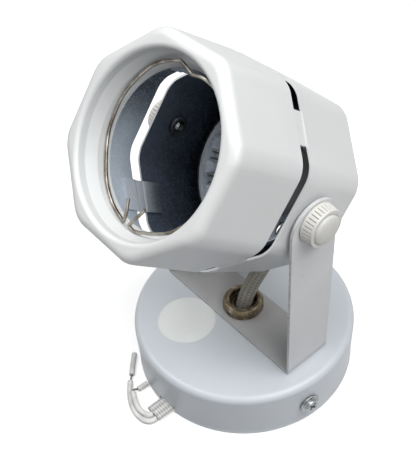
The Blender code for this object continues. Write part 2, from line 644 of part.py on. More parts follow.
def make_yoke(axis):
    """The strip lies on the canopy and turns up into two arms with round ends."""
    t = YOKE_THICKNESS
    bend = YOKE_BEND_RADIUS
    half = YOKE_WIDTH / 2
    low = YOKE_BOTTOM
    end_middle = PIVOT_HEIGHT - ARM_END_DROP
    top = end_middle + half
    outer = arc((ARM_OUTER - bend, low + bend), bend, -90, 0, 3) + [(ARM_OUTER, top)]
    inner = [(ARM_INNER, top)] + arc((ARM_OUTER - bend, low + bend), bend - t, 0, -90, 3)
    right = outer + inner
    left = [(-x, z) for x, z in reversed(right)]
    strip = extruded([(x, 0, z) for x, z in right + left], (0, 1, 0), YOKE_WIDTH)
    yoke = add_piece("yoke_bracket", strip, white_enamel(), axis)

    corner = turned([(half, -CANOPY_DIAMETER), (half, CANOPY_DIAMETER)], DISC_STEPS)
    bmesh.ops.rotate(corner, matrix=Matrix.Rotation(math.radians(90), 3, "Y"), verts=corner.verts)
    bmesh.ops.translate(corner, vec=(0, 0, end_middle), verts=corner.verts)
    rounding = add_piece("arm_end_waste", block((-CANOPY_RADIUS, -CANOPY_RADIUS, end_middle),
                                                (CANOPY_RADIUS, CANOPY_RADIUS, top + half)),
                         white_enamel(), axis)
    rounding.hide_render = True
    rounding.display_type = "WIRE"
    cut(rounding, add_cutter("arm_end_round", corner, axis))
    cut(yoke, rounding)

    pivot = turned([(STUD_RADIUS + HOLE_CLEARANCE, -CANOPY_DIAMETER),
                    (STUD_RADIUS + HOLE_CLEARANCE, CANOPY_DIAMETER)], HOLE_STEPS)
    bmesh.ops.rotate(pivot, matrix=Matrix.Rotation(math.radians(90), 3, "Y"), verts=pivot.verts)
    bmesh.ops.translate(pivot, vec=(0, 0, PIVOT_HEIGHT), verts=pivot.verts)
    cut(yoke, add_cutter("arm_pivot_cutter", pivot, axis))

    bore = turned([(NIPPLE_RADIUS + HOLE_CLEARANCE, low - t),
                   (NIPPLE_RADIUS + HOLE_CLEARANCE, low + 2 * t)], SWIVEL_STEPS)
    cut(yoke, add_cutter("yoke_bore_cutter", bore, axis))


def octagon(half_width, corner, height):
    """A ring of eight flats with rounded corners."""
    ring = []
    reach = (half_width - corner) / math.cos(math.radians(22.5))
    for k in range(8):
        middle = math.radians(22.5 + 45 * k)
        centre = Vector((reach * math.cos(middle), reach * math.sin(middle), height))
        for j in range(CORNER_STEPS + 1):
            a = middle + math.radians(45 * (j / CORNER_STEPS - 0.5))
            ring.append(centre + Vector((corner * math.cos(a), corner * math.sin(a), 0)))
    return ring


def throat(radius, height):
    """A round ring with as many points as the octagon, which it faces corner by corner."""
    steps = 8 * (CORNER_STEPS + 1)
    first = math.radians(22.5) - math.pi / 8 * CORNER_STEPS / (CORNER_STEPS + 1)
    return circle(radius, height, steps, first)


def shell_rings(closed_width, mouth, end, edge_radius, throat_walls, seat_radius, seat_depth):
    """The rings of one shell, from its open mouth over the outside, into the round throat and back
    along the inside. It is drawn for a shell that closes at +Z, with mouth and end as heights. The
    throat's walls are (radius, depth) pairs, the first at its lip and the last above the seat."""
    wall = HEAD_WALL
    half = closed_width / 2
    throat_radius = throat_walls[0][0]
    seat_wall = throat_walls[-1][0]
    rings = [octagon(HEAD_MOUTH_WIDTH / 2, HEAD_CORNER_RADIUS, mouth)]
    corner = HEAD_CORNER_RADIUS
    for across, along in arc((0, 0), edge_radius, 0, 90, EDGE_STEPS):
        inset = edge_radius - across
        rings.append(octagon(half - inset, max(corner - inset, LEAST_CORNER_RADIUS),
                             end - edge_radius + along))
    for across, along in arc((throat_radius + LIP_RADIUS, end - LIP_RADIUS), LIP_RADIUS, 90, 180,
                             EDGE_STEPS):
        rings.append(throat(across, along))
    rings += [throat(radius, end - depth) for radius, depth in throat_walls]
    floor = end - seat_depth
    rings += [throat(seat_wall, floor + SEAT_CHAMFER), throat(seat_wall - SEAT_CHAMFER, floor),
              throat(seat_radius, floor), throat(seat_radius, floor - wall),
              throat(seat_wall + wall, floor - wall)]
    rings += [throat(radius + wall, end - depth) for radius, depth in reversed(throat_walls)]
    back = LIP_RADIUS - wall
    for across, along in arc((throat_radius + LIP_RADIUS, end - LIP_RADIUS), back, 180, 90, 2):
        rings.append(throat(across, along))
    inner_edge = edge_radius - wall
    for across, along in arc((0, 0), inner_edge, 90, 0, EDGE_STEPS):
        inset = edge_radius - across
        rings.append(octagon(half - inset, max(corner - inset, LEAST_CORNER_RADIUS),
                             end - edge_radius + along))
    rings.append(octagon(HEAD_MOUTH_WIDTH / 2 - wall, corner - wall, mouth))
    return rings


def make_front_shell(axis):
    walls = ((FRONT_THROAT_RADIUS, FRONT_SLOPE_TOP), (FRONT_SEAT_WALL, FRONT_SLOPE_FOOT))
    rings = shell_rings(HEAD_FRONT_WIDTH, GAP_FRONT, HEAD_NOSE, NOSE_EDGE_RADIUS, walls,
                        FRONT_SEAT_RADIUS, FRONT_SEAT_DEPTH)
    add_piece("front_shell", loft(rings, joined=True), white_enamel(), axis)


def make_rear_shell(axis):
    walls = ((REAR_THROAT_RADIUS, REAR_SEAT_DEPTH / 2),)
    rings = shell_rings(HEAD_REAR_WIDTH, -GAP_REAR, HEAD_TAIL, TAIL_EDGE_RADIUS, walls,
                        REAR_SEAT_RADIUS, REAR_SEAT_DEPTH)
    for ring in rings:
        for point in ring:
            point.z = -point.z
    shell = add_piece("rear_shell", loft(rings, joined=True), white_enamel(), axis)
    radius = BOSS_NECK_RADIUS + HOLE_CLEARANCE
    hole = turned([(radius, -CANOPY_DIAMETER), (radius, CANOPY_DIAMETER)], HOLE_STEPS)
    bmesh.ops.rotate(hole, matrix=Matrix.Rotation(math.radians(90), 3, "Y"), verts=hole.verts)
    cut(shell, add_cutter("boss_hole_cutter", hole, axis))


def side_of_shell(height, closed_width, closed_height, mouth_height):
    """Half the width of a shell's straight side at a height."""
    share = (height - closed_height) / (mouth_height - closed_height)
    return (closed_width + (HEAD_MOUTH_WIDTH - closed_width) * share) / 2


def rear_side(height):
    return side_of_shell(height, HEAD_REAR_WIDTH, -HEAD_TAIL + TAIL_EDGE_RADIUS, GAP_REAR)


def front_side(height):
    return side_of_shell(height, HEAD_FRONT_WIDTH, HEAD_NOSE - NOSE_EDGE_RADIUS, GAP_FRONT)


def make_straps(axis):
    """Four bent straps, welded inside both shells, whose crowns fill the slot between them."""
    t = STRAP_THICKNESS
    inset = HEAD_WALL + FACE_GAP
    back = GAP_REAR - STRAP_REAR_OVERLAP
    front = GAP_FRONT + STRAP_FRONT_OVERLAP
    crown = HEAD_MOUTH_WIDTH / 2 - STRAP_CROWN_INSET
    gap = STRAP_SLOT_GAP
    points = [(rear_side(back) - inset, back), (rear_side(GAP_REAR) - inset, GAP_REAR + gap),
              (crown, GAP_REAR + gap), (crown, GAP_FRONT - gap),
              (front_side(GAP_FRONT) - inset, GAP_FRONT - gap),
              (front_side(front) - inset, front), (front_side(front) - inset - t, front),
              (front_side(GAP_FRONT) - inset - t, GAP_FRONT - gap - t),
              (crown - t, GAP_FRONT - gap - t), (crown - t, GAP_REAR + gap + t),
              (rear_side(GAP_REAR) - inset - t, GAP_REAR + gap + t),
              (rear_side(back) - inset - t, back)]
    outline = [(across, 0, along) for across, along in points]
    mesh = None
    for k in range(4):
        shape = mesh or extruded(outline, (0, 1, 0), STRAP_WIDTH)
        strap = add_piece("joining_strap_%d" % (k + 1), shape, white_enamel(), axis)
        turn = math.radians(45 + 90 * k)
        strap.rotation_euler = (0, 0, turn)
        step = STRAP_SIDESTEPS[k]
        strap.location = (-step * math.sin(turn), step * math.cos(turn), 0)
        mesh = strap.data


def make_retaining_ring(axis):
    """An open wire ring with a kink at the top and two grips at the bottom. It rests on the seat on
    one side and leans forward on the other."""
    reach = (FRONT_SEAT_RADIUS + RING_SEAT_CLEARANCE) / max(-x for x, up, lift in RING_ROUTE)
    leans = [RING_LEAN[0] * x + RING_LEAN[1] * up for x, up, lift in RING_ROUTE]
    seat = HEAD_NOSE - FRONT_SEAT_DEPTH
    middle = seat + RING_WIRE_DIAMETER / 2 + FACE_GAP - min(leans) * MM
    points = [Vector((x * reach, up * reach, middle + (lean + lift) * MM))
              for (x, up, lift), lean in zip(RING_ROUTE, leans)]
    tube("retaining_ring", smooth_points(points, RING_SPACING), RING_WIRE_DIAMETER,
         spring_steel(), axis)


def make_vent_ring(axis):
    """A cone of sheet whose bridges are raised inwards, with a slit along each of their sides."""
    mouth = VENT_SEAT - VENT_SHEET / 2
    back = VENT_BACK
    rows = [(VENT_FLANGE_RADIUS, mouth, 0.0), (VENT_MOUTH_RADIUS, mouth, 0.0)]
    for share, rise in VENT_BRIDGE_ROWS:
        radius = VENT_MOUTH_RADIUS + (VENT_BACK_RADIUS - VENT_MOUTH_RADIUS) * share
        rows.append((radius, mouth + (back - mouth) * share, rise))
    rows.append((VENT_FLOOR_RADIUS, back, 0.0))
    slit_rows = (2, 3, 4)
    pitch = 2 * math.pi / VENT_COUNT
    half = VENT_BRIDGE_SHARE * pitch / 2
    slit = VENT_SLIT / VENT_MOUTH_RADIUS
    columns = []
    for k in range(VENT_COUNT):
        for offset, raised in ((-half - slit, 0.0), (-half, 1.0), (half, 1.0),
                               (half + slit, 0.0)):
            columns.append((k * pitch + offset, raised))
    normal = Vector((VENT_MOUTH_RADIUS - VENT_BACK_RADIUS, mouth - back)).normalized()
    inward = Vector((-normal.y, normal.x))
    shape = bmesh.new()
    grid = []
    for radius, height, rise in rows:
        line = []
        for angle, raised in columns:
            shift = inward * (VENT_RISE * rise * raised)
            r = radius + shift.x
            line.append(shape.verts.new((r * math.cos(angle), r * math.sin(angle),
                                         height + shift.y)))
        grid.append(line)
    for i in range(len(rows) - 1):
        for j in range(len(columns)):
            if i in slit_rows and j % 4 in (0, 2):
                continue
            n = (j + 1) % len(columns)
            shape.faces.new((grid[i][j], grid[i][n], grid[i + 1][n], grid[i + 1][j]))
    piece = add_piece("vent_ring", shape, grey_sheet(), axis)
    wall = piece.modifiers.new("sheet", "SOLIDIFY")
    wall.thickness = VENT_SHEET
    wall.offset = 0.0
    wall.use_even_offset = True


def make_lampholder(axis):
    r = CAN_RADIUS
    wall = CAN_WALL
    hole = BUSH_RADIUS + HOLE_CLEARANCE
    can = [(VENT_FLOOR_RADIUS, CAN_FRONT), (r, CAN_FRONT), (r, CAN_BACK),
           (hole, CAN_BACK), (hole, CAN_BACK + wall), (r - wall, CAN_BACK + wall),
           (r - wall, CAN_FRONT - wall), (VENT_FLOOR_RADIUS, CAN_FRONT - wall)]
    can_piece = add_piece("lampholder_can", turned(can, HOLDER_STEPS, joined=True), grey_sheet(),
                          axis)
    cut(can_piece, holder_screw_cutter(axis))

    front = HOLDER_FRONT
    back = HOLDER_BACK
    bore = HOLDER_BORE_RADIUS
    floor = back + HOLDER_FLOOR
    r = HOLDER_RADIUS
    chamfer = HOLDER_CHAMFER
    rounding = HOLDER_ROUNDING
    body = [(SLEEVE_RADIUS + HOLE_CLEARANCE, back), (r - chamfer, back), (r, back + chamfer)]
    body += arc((r - rounding, front - rounding), rounding, 0, 90, 2)
    body += [(bore + chamfer, front), (bore, front - chamfer), (bore, floor),
             (SLEEVE_RADIUS + HOLE_CLEARANCE, floor)]
    body_piece = add_piece("lampholder_body", turned(body, HOLDER_STEPS, joined=True),
                           porcelain(), axis)
    cut(body_piece, bpy.data.objects["holder_screw_cutter"])

    thread_low = floor + FACE_GAP
    outer = THREAD_RADIUS
    profile = []
    for i in range(THREAD_TURNS):
        z = thread_low + i * THREAD_PITCH
        profile += [(outer - THREAD_DEPTH, z), (outer, z + 0.5 * THREAD_PITCH)]
    profile.append((outer - THREAD_DEPTH, thread_low + THREAD_TURNS * THREAD_PITCH))
    inside = [(radius - THREAD_WALL, height) for radius, height in reversed(profile)]
    add_piece("threaded_shell", turned(profile + inside, THREAD_STEPS, joined=True),
              aged_brass(), axis)

    t = CONTACT_THICKNESS
    low = floor + FACE_GAP
    reach = outer - THREAD_DEPTH - THREAD_WALL - CONTACT_CLEARANCE
    tongue = [(-reach, low), (-0.4 * reach, low), (0.25 * reach, low + CONTACT_RISE),
              (0.5 * reach, low + CONTACT_RISE), (0.5 * reach, low + CONTACT_RISE + t),
              (0.2 * reach, low + CONTACT_RISE + t), (-0.45 * reach, low + t), (-reach, low + t)]
    add_piece("centre_contact", extruded([(x, 0, z) for x, z in tongue], (0, 1, 0),
                                         CONTACT_WIDTH), spring_steel(), axis)

    seat = CAN_BACK - FACE_GAP
    head = seat - HOLDER_SCREW_HEAD_HEIGHT
    tip = HOLDER_BACK + HOLDER_SCREW_DEPTH
    screw = [(HOLDER_SCREW_RADIUS, tip), (HOLDER_SCREW_RADIUS, seat),
             (HOLDER_SCREW_HEAD_RADIUS, seat), (HOLDER_SCREW_HEAD_RADIUS, head + HOLDER_SCREW_DOME),
             (0.7 * HOLDER_SCREW_HEAD_RADIUS, head)]
    mesh = None
    for name, side in (("right", 1), ("left", -1)):
        piece = add_piece("lampholder_screw_" + name, mesh or turned(screw, SMALL_STEPS),
                          zinc_steel(),
                          axis)
        piece.location = (side * HOLDER_SCREW_PLACE, 0, 0)
        mesh = piece.data

    bore = SLEEVE_RADIUS + HOLE_CLEARANCE
    back = seat - BUSH_FLANGE_THICKNESS
    inner = CAN_BACK + CAN_WALL
    bush = [(BUSH_RADIUS, inner), (BUSH_RADIUS, seat), (BUSH_FLANGE_RADIUS, seat),
            (BUSH_FLANGE_RADIUS, back + BUSH_CHAMFER), (BUSH_FLANGE_RADIUS - BUSH_CHAMFER, back),
            (bore, back), (bore, inner)]
    add_piece("sleeve_bush", turned(bush, SLEEVE_SIDES * 2, joined=True), porcelain(), axis)


def holder_screw_cutter(axis):
    """Two round bars, one for each screw that holds the lampholder in its can."""
    low = CAN_BACK - CAN_LENGTH
    high = HOLDER_BACK + HOLDER_SCREW_DEPTH + HOLE_CLEARANCE
    radius = HOLDER_SCREW_RADIUS + HOLE_CLEARANCE
    bars = None
    for side in (-1, 1):
        bar = turned([(radius, low), (radius, high)], SMALL_STEPS)
        bmesh.ops.translate(bar, vec=(side * HOLDER_SCREW_PLACE, 0, 0), verts=bar.verts)
        if bars:
            add_shape(bars, bar)
        else:
            bars = bar
    return add_cutter("holder_screw_cutter", bars, axis)


def make_boss(name, outward):
    """A threaded boss, welded in the rear shell's side. It bears on the yoke arm."""
    inner = rear_side(0.0) - HEAD_WALL - FACE_GAP
    face = ARM_INNER - FACE_GAP
    bore = STUD_RADIUS + HOLE_CLEARANCE
    profile = [(BOSS_FLANGE_RADIUS, inner - BOSS_FLANGE_THICKNESS), (BOSS_FLANGE_RADIUS, inner),
               (BOSS_NECK_RADIUS, inner), (BOSS_NECK_RADIUS, face), (bore, face),
               (bore, inner - BOSS_FLANGE_THICKNESS)]
    add_piece(name, turned(profile, HOLE_STEPS, joined=True), zinc_steel(), outward)


def knob_section(radius, height, depth):
    """A ring of the knob's grip, with flutes of a given depth."""
    ring = []
    for i in range(2 * KNOB_FLUTES):
        a = math.pi * i / KNOB_FLUTES
        r = radius - (depth if i % 2 else 0.0)
        ring.append(Vector((r * math.cos(a), r * math.sin(a), height)))
    return ring


def make_knob(side, outward):
    base = ARM_OUTER + FACE_GAP
    face = base + KNOB_THICKNESS
    slope = (KNOB_RADIUS - KNOB_FACE_RADIUS) / KNOB_THICKNESS
    floor = face - KNOB_POCKET_DEPTH
    pocket = KNOB_CAP_RADIUS + HOLE_CLEARANCE
    depth = KNOB_FLUTE_DEPTH
    low_flute = base + KNOB_COLLAR + depth
    high_flute = face - KNOB_RIM
    bore = STUD_RADIUS + HOLE_CLEARANCE
    rings = [knob_section(KNOB_RADIUS, base, 0),
             knob_section(KNOB_RADIUS - slope * KNOB_COLLAR, base + KNOB_COLLAR, 0),
             knob_section(KNOB_RADIUS - slope * KNOB_COLLAR, low_flute, depth),
             knob_section(KNOB_FACE_RADIUS + slope * KNOB_RIM, high_flute, depth),
             knob_section(KNOB_FACE_RADIUS, face, 0), knob_section(pocket, face, 0),
             knob_section(pocket, floor, 0), knob_section(bore, floor, 0),
             knob_section(bore, base, 0)]
    add_piece("knob_" + side, loft(rings, joined=True), warm_plastic(), outward)

    cap_low = floor + FACE_GAP
    cap_edge = face + KNOB_CAP_LIFT
    r = KNOB_CAP_RADIUS
    cap = [(r, cap_low), (r, cap_edge)]
    for i in range(1, KNOB_CAP_STEPS):
        share = i / KNOB_CAP_STEPS
        cap.append((r * math.cos(share * math.pi / 2),
                    cap_edge + KNOB_CAP_RISE * math.sin(share * math.pi / 2)))
    add_piece("knob_cap_" + side, turned(cap, 2 * SMALL_STEPS), warm_plastic(), outward)

    tip = STUD_TIP
    end = floor - FACE_GAP
    r = STUD_RADIUS
    stud = [(r - STUD_CHAMFER, tip), (r, tip + STUD_CHAMFER), (r, end)]
    add_piece("knob_stud_" + side, turned(stud, SMALL_STEPS), zinc_steel(), outward)


def lamp_sleeve_points():
    """Up out of the nipple, back and up, round a loop and into the back of the lampholder's can."""
    away = Vector((0, math.cos(HEAD_TILT), -math.sin(HEAD_TILT)))
    inward = Vector((0, -math.sin(HEAD_TILT), -math.cos(HEAD_TILT)))
    pivot = Vector((0, 0, PIVOT_HEIGHT))
    flange_back = CAN_BACK - FACE_GAP - BUSH_FLANGE_THICKNESS
    mouth = pivot - away * (flange_back - SLEEVE_STRAIGHT)
    centre = mouth + inward * SLEEVE_LOOP_RADIUS
    loop = []
    for i in range(SLEEVE_LOOP_POINTS + 1):
        turn = SLEEVE_LOOP_SWEEP * (1 - i / SLEEVE_LOOP_POINTS)
        loop.append(centre + (away * math.sin(turn) - inward * math.cos(turn)) * SLEEVE_LOOP_RADIUS)
    foot = [Vector((0, 0, NIPPLE_BOTTOM + FACE_GAP))] + in_metres(LAMP_SLEEVE_FOOT, NIPPLE_TOP)
    middle = (foot[-1] + loop[0]) / 2
    points = smooth_points(foot + [middle] + loop, SLEEVE_DIAMETER)
    return points + [pivot - away * (CAN_BACK + CAN_WALL)]


def make_lamp_sleeve(axis):
    points = lamp_sleeve_points()
    sizes = [SLEEVE_DIAMETER] * len(points)
    add_piece("lamp_sleeve", swept_sleeve(points, sizes, sizes, (1, 0, 0)), glass_braid(), axis,
              sharp=50.0)


def make_supply_lead():
    points = in_metres(SUPPLY_SLEEVE_TOP, NIPPLE_BOTTOM) + in_metres(SUPPLY_SLEEVE_ROUTE)
    widths = [SLEEVE_DIAMETER + (SUPPLY_SLEEVE_WIDTH - SLEEVE_DIAMETER) * f
              for f in SUPPLY_SLEEVE_FLATNESS]
    heights = [SLEEVE_DIAMETER + (SUPPLY_SLEEVE_THICKNESS - SLEEVE_DIAMETER) * f
               for f in SUPPLY_SLEEVE_FLATNESS]
    add_piece("supply_sleeve", swept_sleeve(points, widths, heights, (1, 0, 0)), glass_braid(),
              sharp=50.0)
    wires = (
        ("supply_wire_1", WIRE_1_ROUTE, WIRE_DIAMETER, wire_rubber()),
        ("supply_wire_2", WIRE_2_ROUTE, WIRE_DIAMETER, wire_rubber()),
        ("wire_strands_1", STRANDS_1_ROUTE, STRAND_DIAMETER, bare_copper()),
        ("wire_strands_2", STRANDS_2_ROUTE, STRAND_DIAMETER, bare_copper()),
        ("wire_slug_1", SLUG_1_ROUTE, WIRE_DIAMETER, wire_rubber()),
        ("wire_slug_2", SLUG_2_ROUTE, WIRE_DIAMETER, wire_rubber()),
    )
    for name, route, diameter, finish in wires:
        tube(name, smooth_points(in_metres(route), 1.2 * diameter), diameter, finish)


def build():
    clear_scene()
    make_canopy_cover()
    make_mounting_bar()
    make_side_screws()
    make_swivel()
    make_sticker()
    make_supply_lead()

    yoke_axis = fit_axis("yoke_swivel_axis")
    make_yoke(yoke_axis)
    make_lamp_sleeve(yoke_axis)

    head_axis = fit_axis("head_tilt_axis", yoke_axis, (0, 0, PIVOT_HEIGHT),
                         (math.pi / 2 - HEAD_TILT, 0, 0))
    make_front_shell(head_axis)
    make_rear_shell(head_axis)
    make_straps(head_axis)
    make_retaining_ring(head_axis)
    make_vent_ring(head_axis)
    make_lampholder(head_axis)
    for side, turn in (("right", 90), ("left", -90)):
        outward = fit_axis("knob_axis_" + side, head_axis, (0, 0, 0), (0, math.radians(turn), 0))
        make_boss("tilt_boss_" + side, outward)
        make_knob(side, outward)


build()
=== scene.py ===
import math

import bmesh
import bpy
from mathutils import Matrix, Vector


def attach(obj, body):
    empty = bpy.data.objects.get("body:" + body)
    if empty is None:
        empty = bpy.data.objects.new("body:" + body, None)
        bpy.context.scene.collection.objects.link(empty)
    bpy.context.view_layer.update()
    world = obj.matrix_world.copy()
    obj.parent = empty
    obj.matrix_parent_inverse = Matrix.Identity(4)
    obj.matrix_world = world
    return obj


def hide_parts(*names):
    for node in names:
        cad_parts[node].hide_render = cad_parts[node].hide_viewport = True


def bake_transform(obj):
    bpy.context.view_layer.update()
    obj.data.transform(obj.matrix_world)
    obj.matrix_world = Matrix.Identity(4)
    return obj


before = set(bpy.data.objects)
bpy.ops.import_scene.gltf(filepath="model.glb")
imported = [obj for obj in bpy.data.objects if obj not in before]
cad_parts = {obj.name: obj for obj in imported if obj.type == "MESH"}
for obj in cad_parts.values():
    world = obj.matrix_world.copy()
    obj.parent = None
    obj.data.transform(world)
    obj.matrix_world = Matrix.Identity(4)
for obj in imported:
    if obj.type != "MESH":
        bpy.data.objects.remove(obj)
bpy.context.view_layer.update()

MM = 0.001

# Canopy and what stands on it
CANOPY_RADIUS = 60.0
CANOPY_SIDE = 59.75
CANOPY_HEIGHT = 30.5
CANOPY_SHEET = 1.0
CANOPY_HOLE = 6.8
SIDE_SCREW_ANGLE = math.radians(-8.5)
SIDE_SCREW_HEIGHT = 13.9
SIDE_SCREW_SEAT = 60.3
NIPPLE_TOP = 34.5
NIPPLE_BOTTOM = 22.5
NIPPLE_BORE = 5.6
STICKER_RADIUS = 15.8
STICKER_PLACE = (-14.4, -28.08)

# Yoke strip
YOKE_BOTTOM = 30.8
YOKE_SHEET = 1.5
YOKE_HALF_WIDTH = 13.5
YOKE_BEND = 2.2
ARM_END_DROP = 3.0
ARM_OUTER = 48.6
PIVOT_HEIGHT = 129.1

# Head, drawn with its lamp's axis along Z and turned to its place afterwards
TILT = math.radians(39.3)
MOUTH_WIDTH = 91.2
CORNER = 12.0
SHELL_SHEET = 1.0
SHELL_LIP = 2.0
FRONT_SHELL = {"closed_width": 88.4, "mouth": 21.3, "end": 62.0, "edge": 4.4, "throat": 37.8,
               "walls": ((37.8, 5.0), (35.7, 10.2)), "seat": 33.8, "depth": 14.5}
REAR_SHELL = {"closed_width": 88.0, "mouth": -15.0, "end": 30.6, "edge": 3.5, "throat": 34.8,
              "walls": ((34.8, 8.1),), "seat": 33.8, "depth": 16.2}
JUST_INSIDE = 0.9985
STRAP_HALF_WIDTH = 7.5
RING_WIRE = 1.48
RING_MIDDLE = 52.97
RING_LEAN = (0.112, 0.070)
BRIDGES = 16
VENT_SEAT = -15.2
VENT_BACK = -30.4
VENT_SHEET = 0.7
CAN_FRONT = -31.4
CAN_BACK = -45.4
CAN_RADIUS = 22.5
CAN_SHEET = 0.8
HOLDER_BACK = -44.3
HOLDER_FRONT = -11.3
HOLDER_RADIUS = 19.2
KNOB_BASE = 48.9
KNOB_FACE = 55.0
KNOB_FLUTES = 32

# The cords' middle lines, in millimetres
LAMP_SLEEVE = (
    (0, 0, 22.8), (0, 0, 27.5), (0, 0.3, 32), (0, 2, 37.5), (0, 5.3, 43), (0.3, 9.8, 48.7),
    (0.6, 15.2, 54.3), (0.5, 20.7, 58.6), (0.3, 27, 63.4), (0.1, 33.5, 68.3), (0, 38.8, 72.6),
    (0, 41.7, 76.5), (0, 43.4, 81), (0, 43.8, 85.8), (0, 42.9, 90.6), (0, 40.7, 94.9),
    (0, 37.4, 98.5), (0, 34.5, 100.9),
)
SUPPLY_SLEEVE = (
    (0, 0, 22.4), (0, 0, 19.4), (0.2, -1.9, 14.8), (0.7, -6.6, 10.8), (1.3, -13.5, 7.9),
    (2, -22, 5.6), (2.8, -31, 4), (3.5, -42, 2.7), (3.8, -52, 2.2), (3.8, -60.5, 2.1),
    (3.8, -68.6, 2.1),
)
SUPPLY_FLATNESS = (0, 0, 0, 0.1, 0.35, 0.65, 0.9, 1, 1, 1, 1)
WIRE_1 = (
    (6.8, -68.95, 1.9), (6.4, -71.6, 1.6), (4.5, -73.8, 1.52), (1.2, -75, 1.52),
    (-2.8, -75.1, 1.52), (-7, -74.3, 1.52), (-11, -72.7, 1.52), (-14.8, -70.5, 1.52),
    (-18.4, -68, 1.52), (-21.6, -65.3, 1.52),
)
WIRE_2 = (
    (3.5, -69.15, 1.9), (3.1, -70.5, 2.2), (1.9, -71.8, 2.9), (0, -72.8, 3.6),
    (-2.4, -73.1, 4.1), (-5.6, -72.5, 4.15), (-9.2, -71.2, 4.15), (-13.2, -69.2, 4.1),
)
STRANDS_1 = ((-21.85, -65.07, 1.52), (-23.1, -63.8, 1.52), (-24.3, -62.5, 1.52))
STRANDS_2 = (
    (-13.5, -69.03, 4.05), (-14.6, -68.3, 3.6), (-14.9, -67.2, 2.8), (-14.75, -66.1, 2),
    (-14.6, -65.6, 1.75),
)
SLUG_1 = ((-24.52, -62.26, 1.52), (-30, -57.4, 1.52), (-35.2, -52.5, 1.52))
SLUG_2 = ((-14.57, -65.2, 1.52), (-14.4, -62.1, 1.52), (-14.3, -59, 1.52))

# The retaining ring's wire: across, up and above the ring's own leaning plane
RING_WAY = (
    (9.1, -23.0, 2.0), (4.4, -30.6, 1.3), (3.2, -32.3, 1.0), (2.1, -33.6, 0.5), (3.6, -34.3, 0.0),
    (8.6, -33.3, 0.0), (22.8, -25.4, -0.9), (28.4, -18.6, -2.6), (31.6, -13.0, -3.3),
    (34.9, 0.0, -4.2), (32.6, 12.0, -5.2), (25.3, 23.6, -6.0), (16.7, 30.7, -4.4),
    (10.4, 33.5, 0.0), (4.2, 32.7, 0.0), (2.6, 32.3, 0.0), (0.9, 32.7, 0.0), (-6.2, 34.3, 0.0),
    (-8.3, 33.9, 0.0), (-16.2, 30.5, 0.0), (-24.0, 24.4, 0.0),
    (-32.0, 11.7, 0.0), (-34.0, 0.0, 0.0), (-32.4, -10.6, 0.0), (-24.2, -24.1, 0.0),
    (-14.5, -31.2, 0.0), (-4.2, -34.2, 0.0), (-2.2, -34.1, 0.3), (-1.4, -33.2, 0.9),
    (-1.3, -29.5, 1.5), (-2.9, -24.2, 2.0),
)

# The camera that the photograph was taken with, in degrees, metres and the photograph's pixels
CAMERA_ANGLES = (51.249, 46.567, -3.439)
CAMERA_PLACE = (0.200567, -0.169494, 0.349427)
FOCAL_LENGTH = 756.98
PHOTO_SIZE = (416, 465)
PHOTO_MIDDLE = (228.15, 255.25)
SENSOR = 36.0

# Soft round lamps, in metres, and how much of the white surroundings shows in what mirrors them
LAMP_SIZE = 0.9
LAMP_DISTANCE = 1.2
LAMP_AIM = 0.08
MIRRORED_WHITE = 0.75

HEAD = Matrix.Translation((0, 0, PIVOT_HEIGHT * MM)) @ Matrix.Rotation(math.pi / 2 - TILT, 4, "X")
RIGHT = HEAD @ Matrix.Rotation(math.radians(90), 4, "Y")
LEFT = HEAD @ Matrix.Rotation(math.radians(-90), 4, "Y")


# ---------------------------------------------------------------- materials

def of_two(operation, swapped=False):
    """A method that makes a Math node of an amount and another amount or a number."""
    if swapped:
        return lambda self, other: self.sum(operation, other, self)
    return lambda self, other: self.sum(operation, self, other)


class Amount:
    """A number that varies over a surface, used in ordinary sums."""

    def __init__(self, nodes, socket):
        self.nodes = nodes
        self.socket = socket

    def sum(self, operation, first, second=None):
        inputs = {0: first} if second is None else {0: first, 1: second}
        return self.nodes.node("ShaderNodeMath", {"operation": operation}, inputs)[0]

    __add__, __radd__ = of_two("ADD"), of_two("ADD", True)
    __sub__, __rsub__ = of_two("SUBTRACT"), of_two("SUBTRACT", True)
    __mul__, __rmul__ = of_two("MULTIPLY"), of_two("MULTIPLY", True)
    most = of_two("MAXIMUM")
    angle = of_two("ARCTAN2")

    def __abs__(self):
        return self.sum("ABSOLUTE", self)

    def wave(self):
        return self.sum("COSINE", self)

    def fraction(self):
        return self.sum("FRACT", self)

    def step(self, low, high):
        """Rises smoothly from 0 at low to 1 at high."""
        return self.nodes.node(
            "ShaderNodeMapRange", {"interpolation_type": "SMOOTHSTEP"},
            {0: self, 1: low, 2: high, 3: 0.0, 4: 1.0})[0]


class Nodes:
    """The node tree of a material or of the world."""

    def __init__(self, tree):
        self.tree = tree

    def node(self, kind, settings, inputs):
        """Adds a node: its settings first, then the values or links of its sockets."""
        made = self.tree.nodes.new(kind)
        for key, value in settings.items():
            setattr(made, key, value)
        for key, value in inputs.items():
            self.plug(made.inputs[key], value)
        return [Amount(self, out) for out in made.outputs]

    def plug(self, socket, value):
        if isinstance(value, Amount):
            self.tree.links.new(value.socket, socket)
        elif socket.type == "RGBA":
            socket.default_value = (*value, 1.0)
        else:
            socket.default_value = value


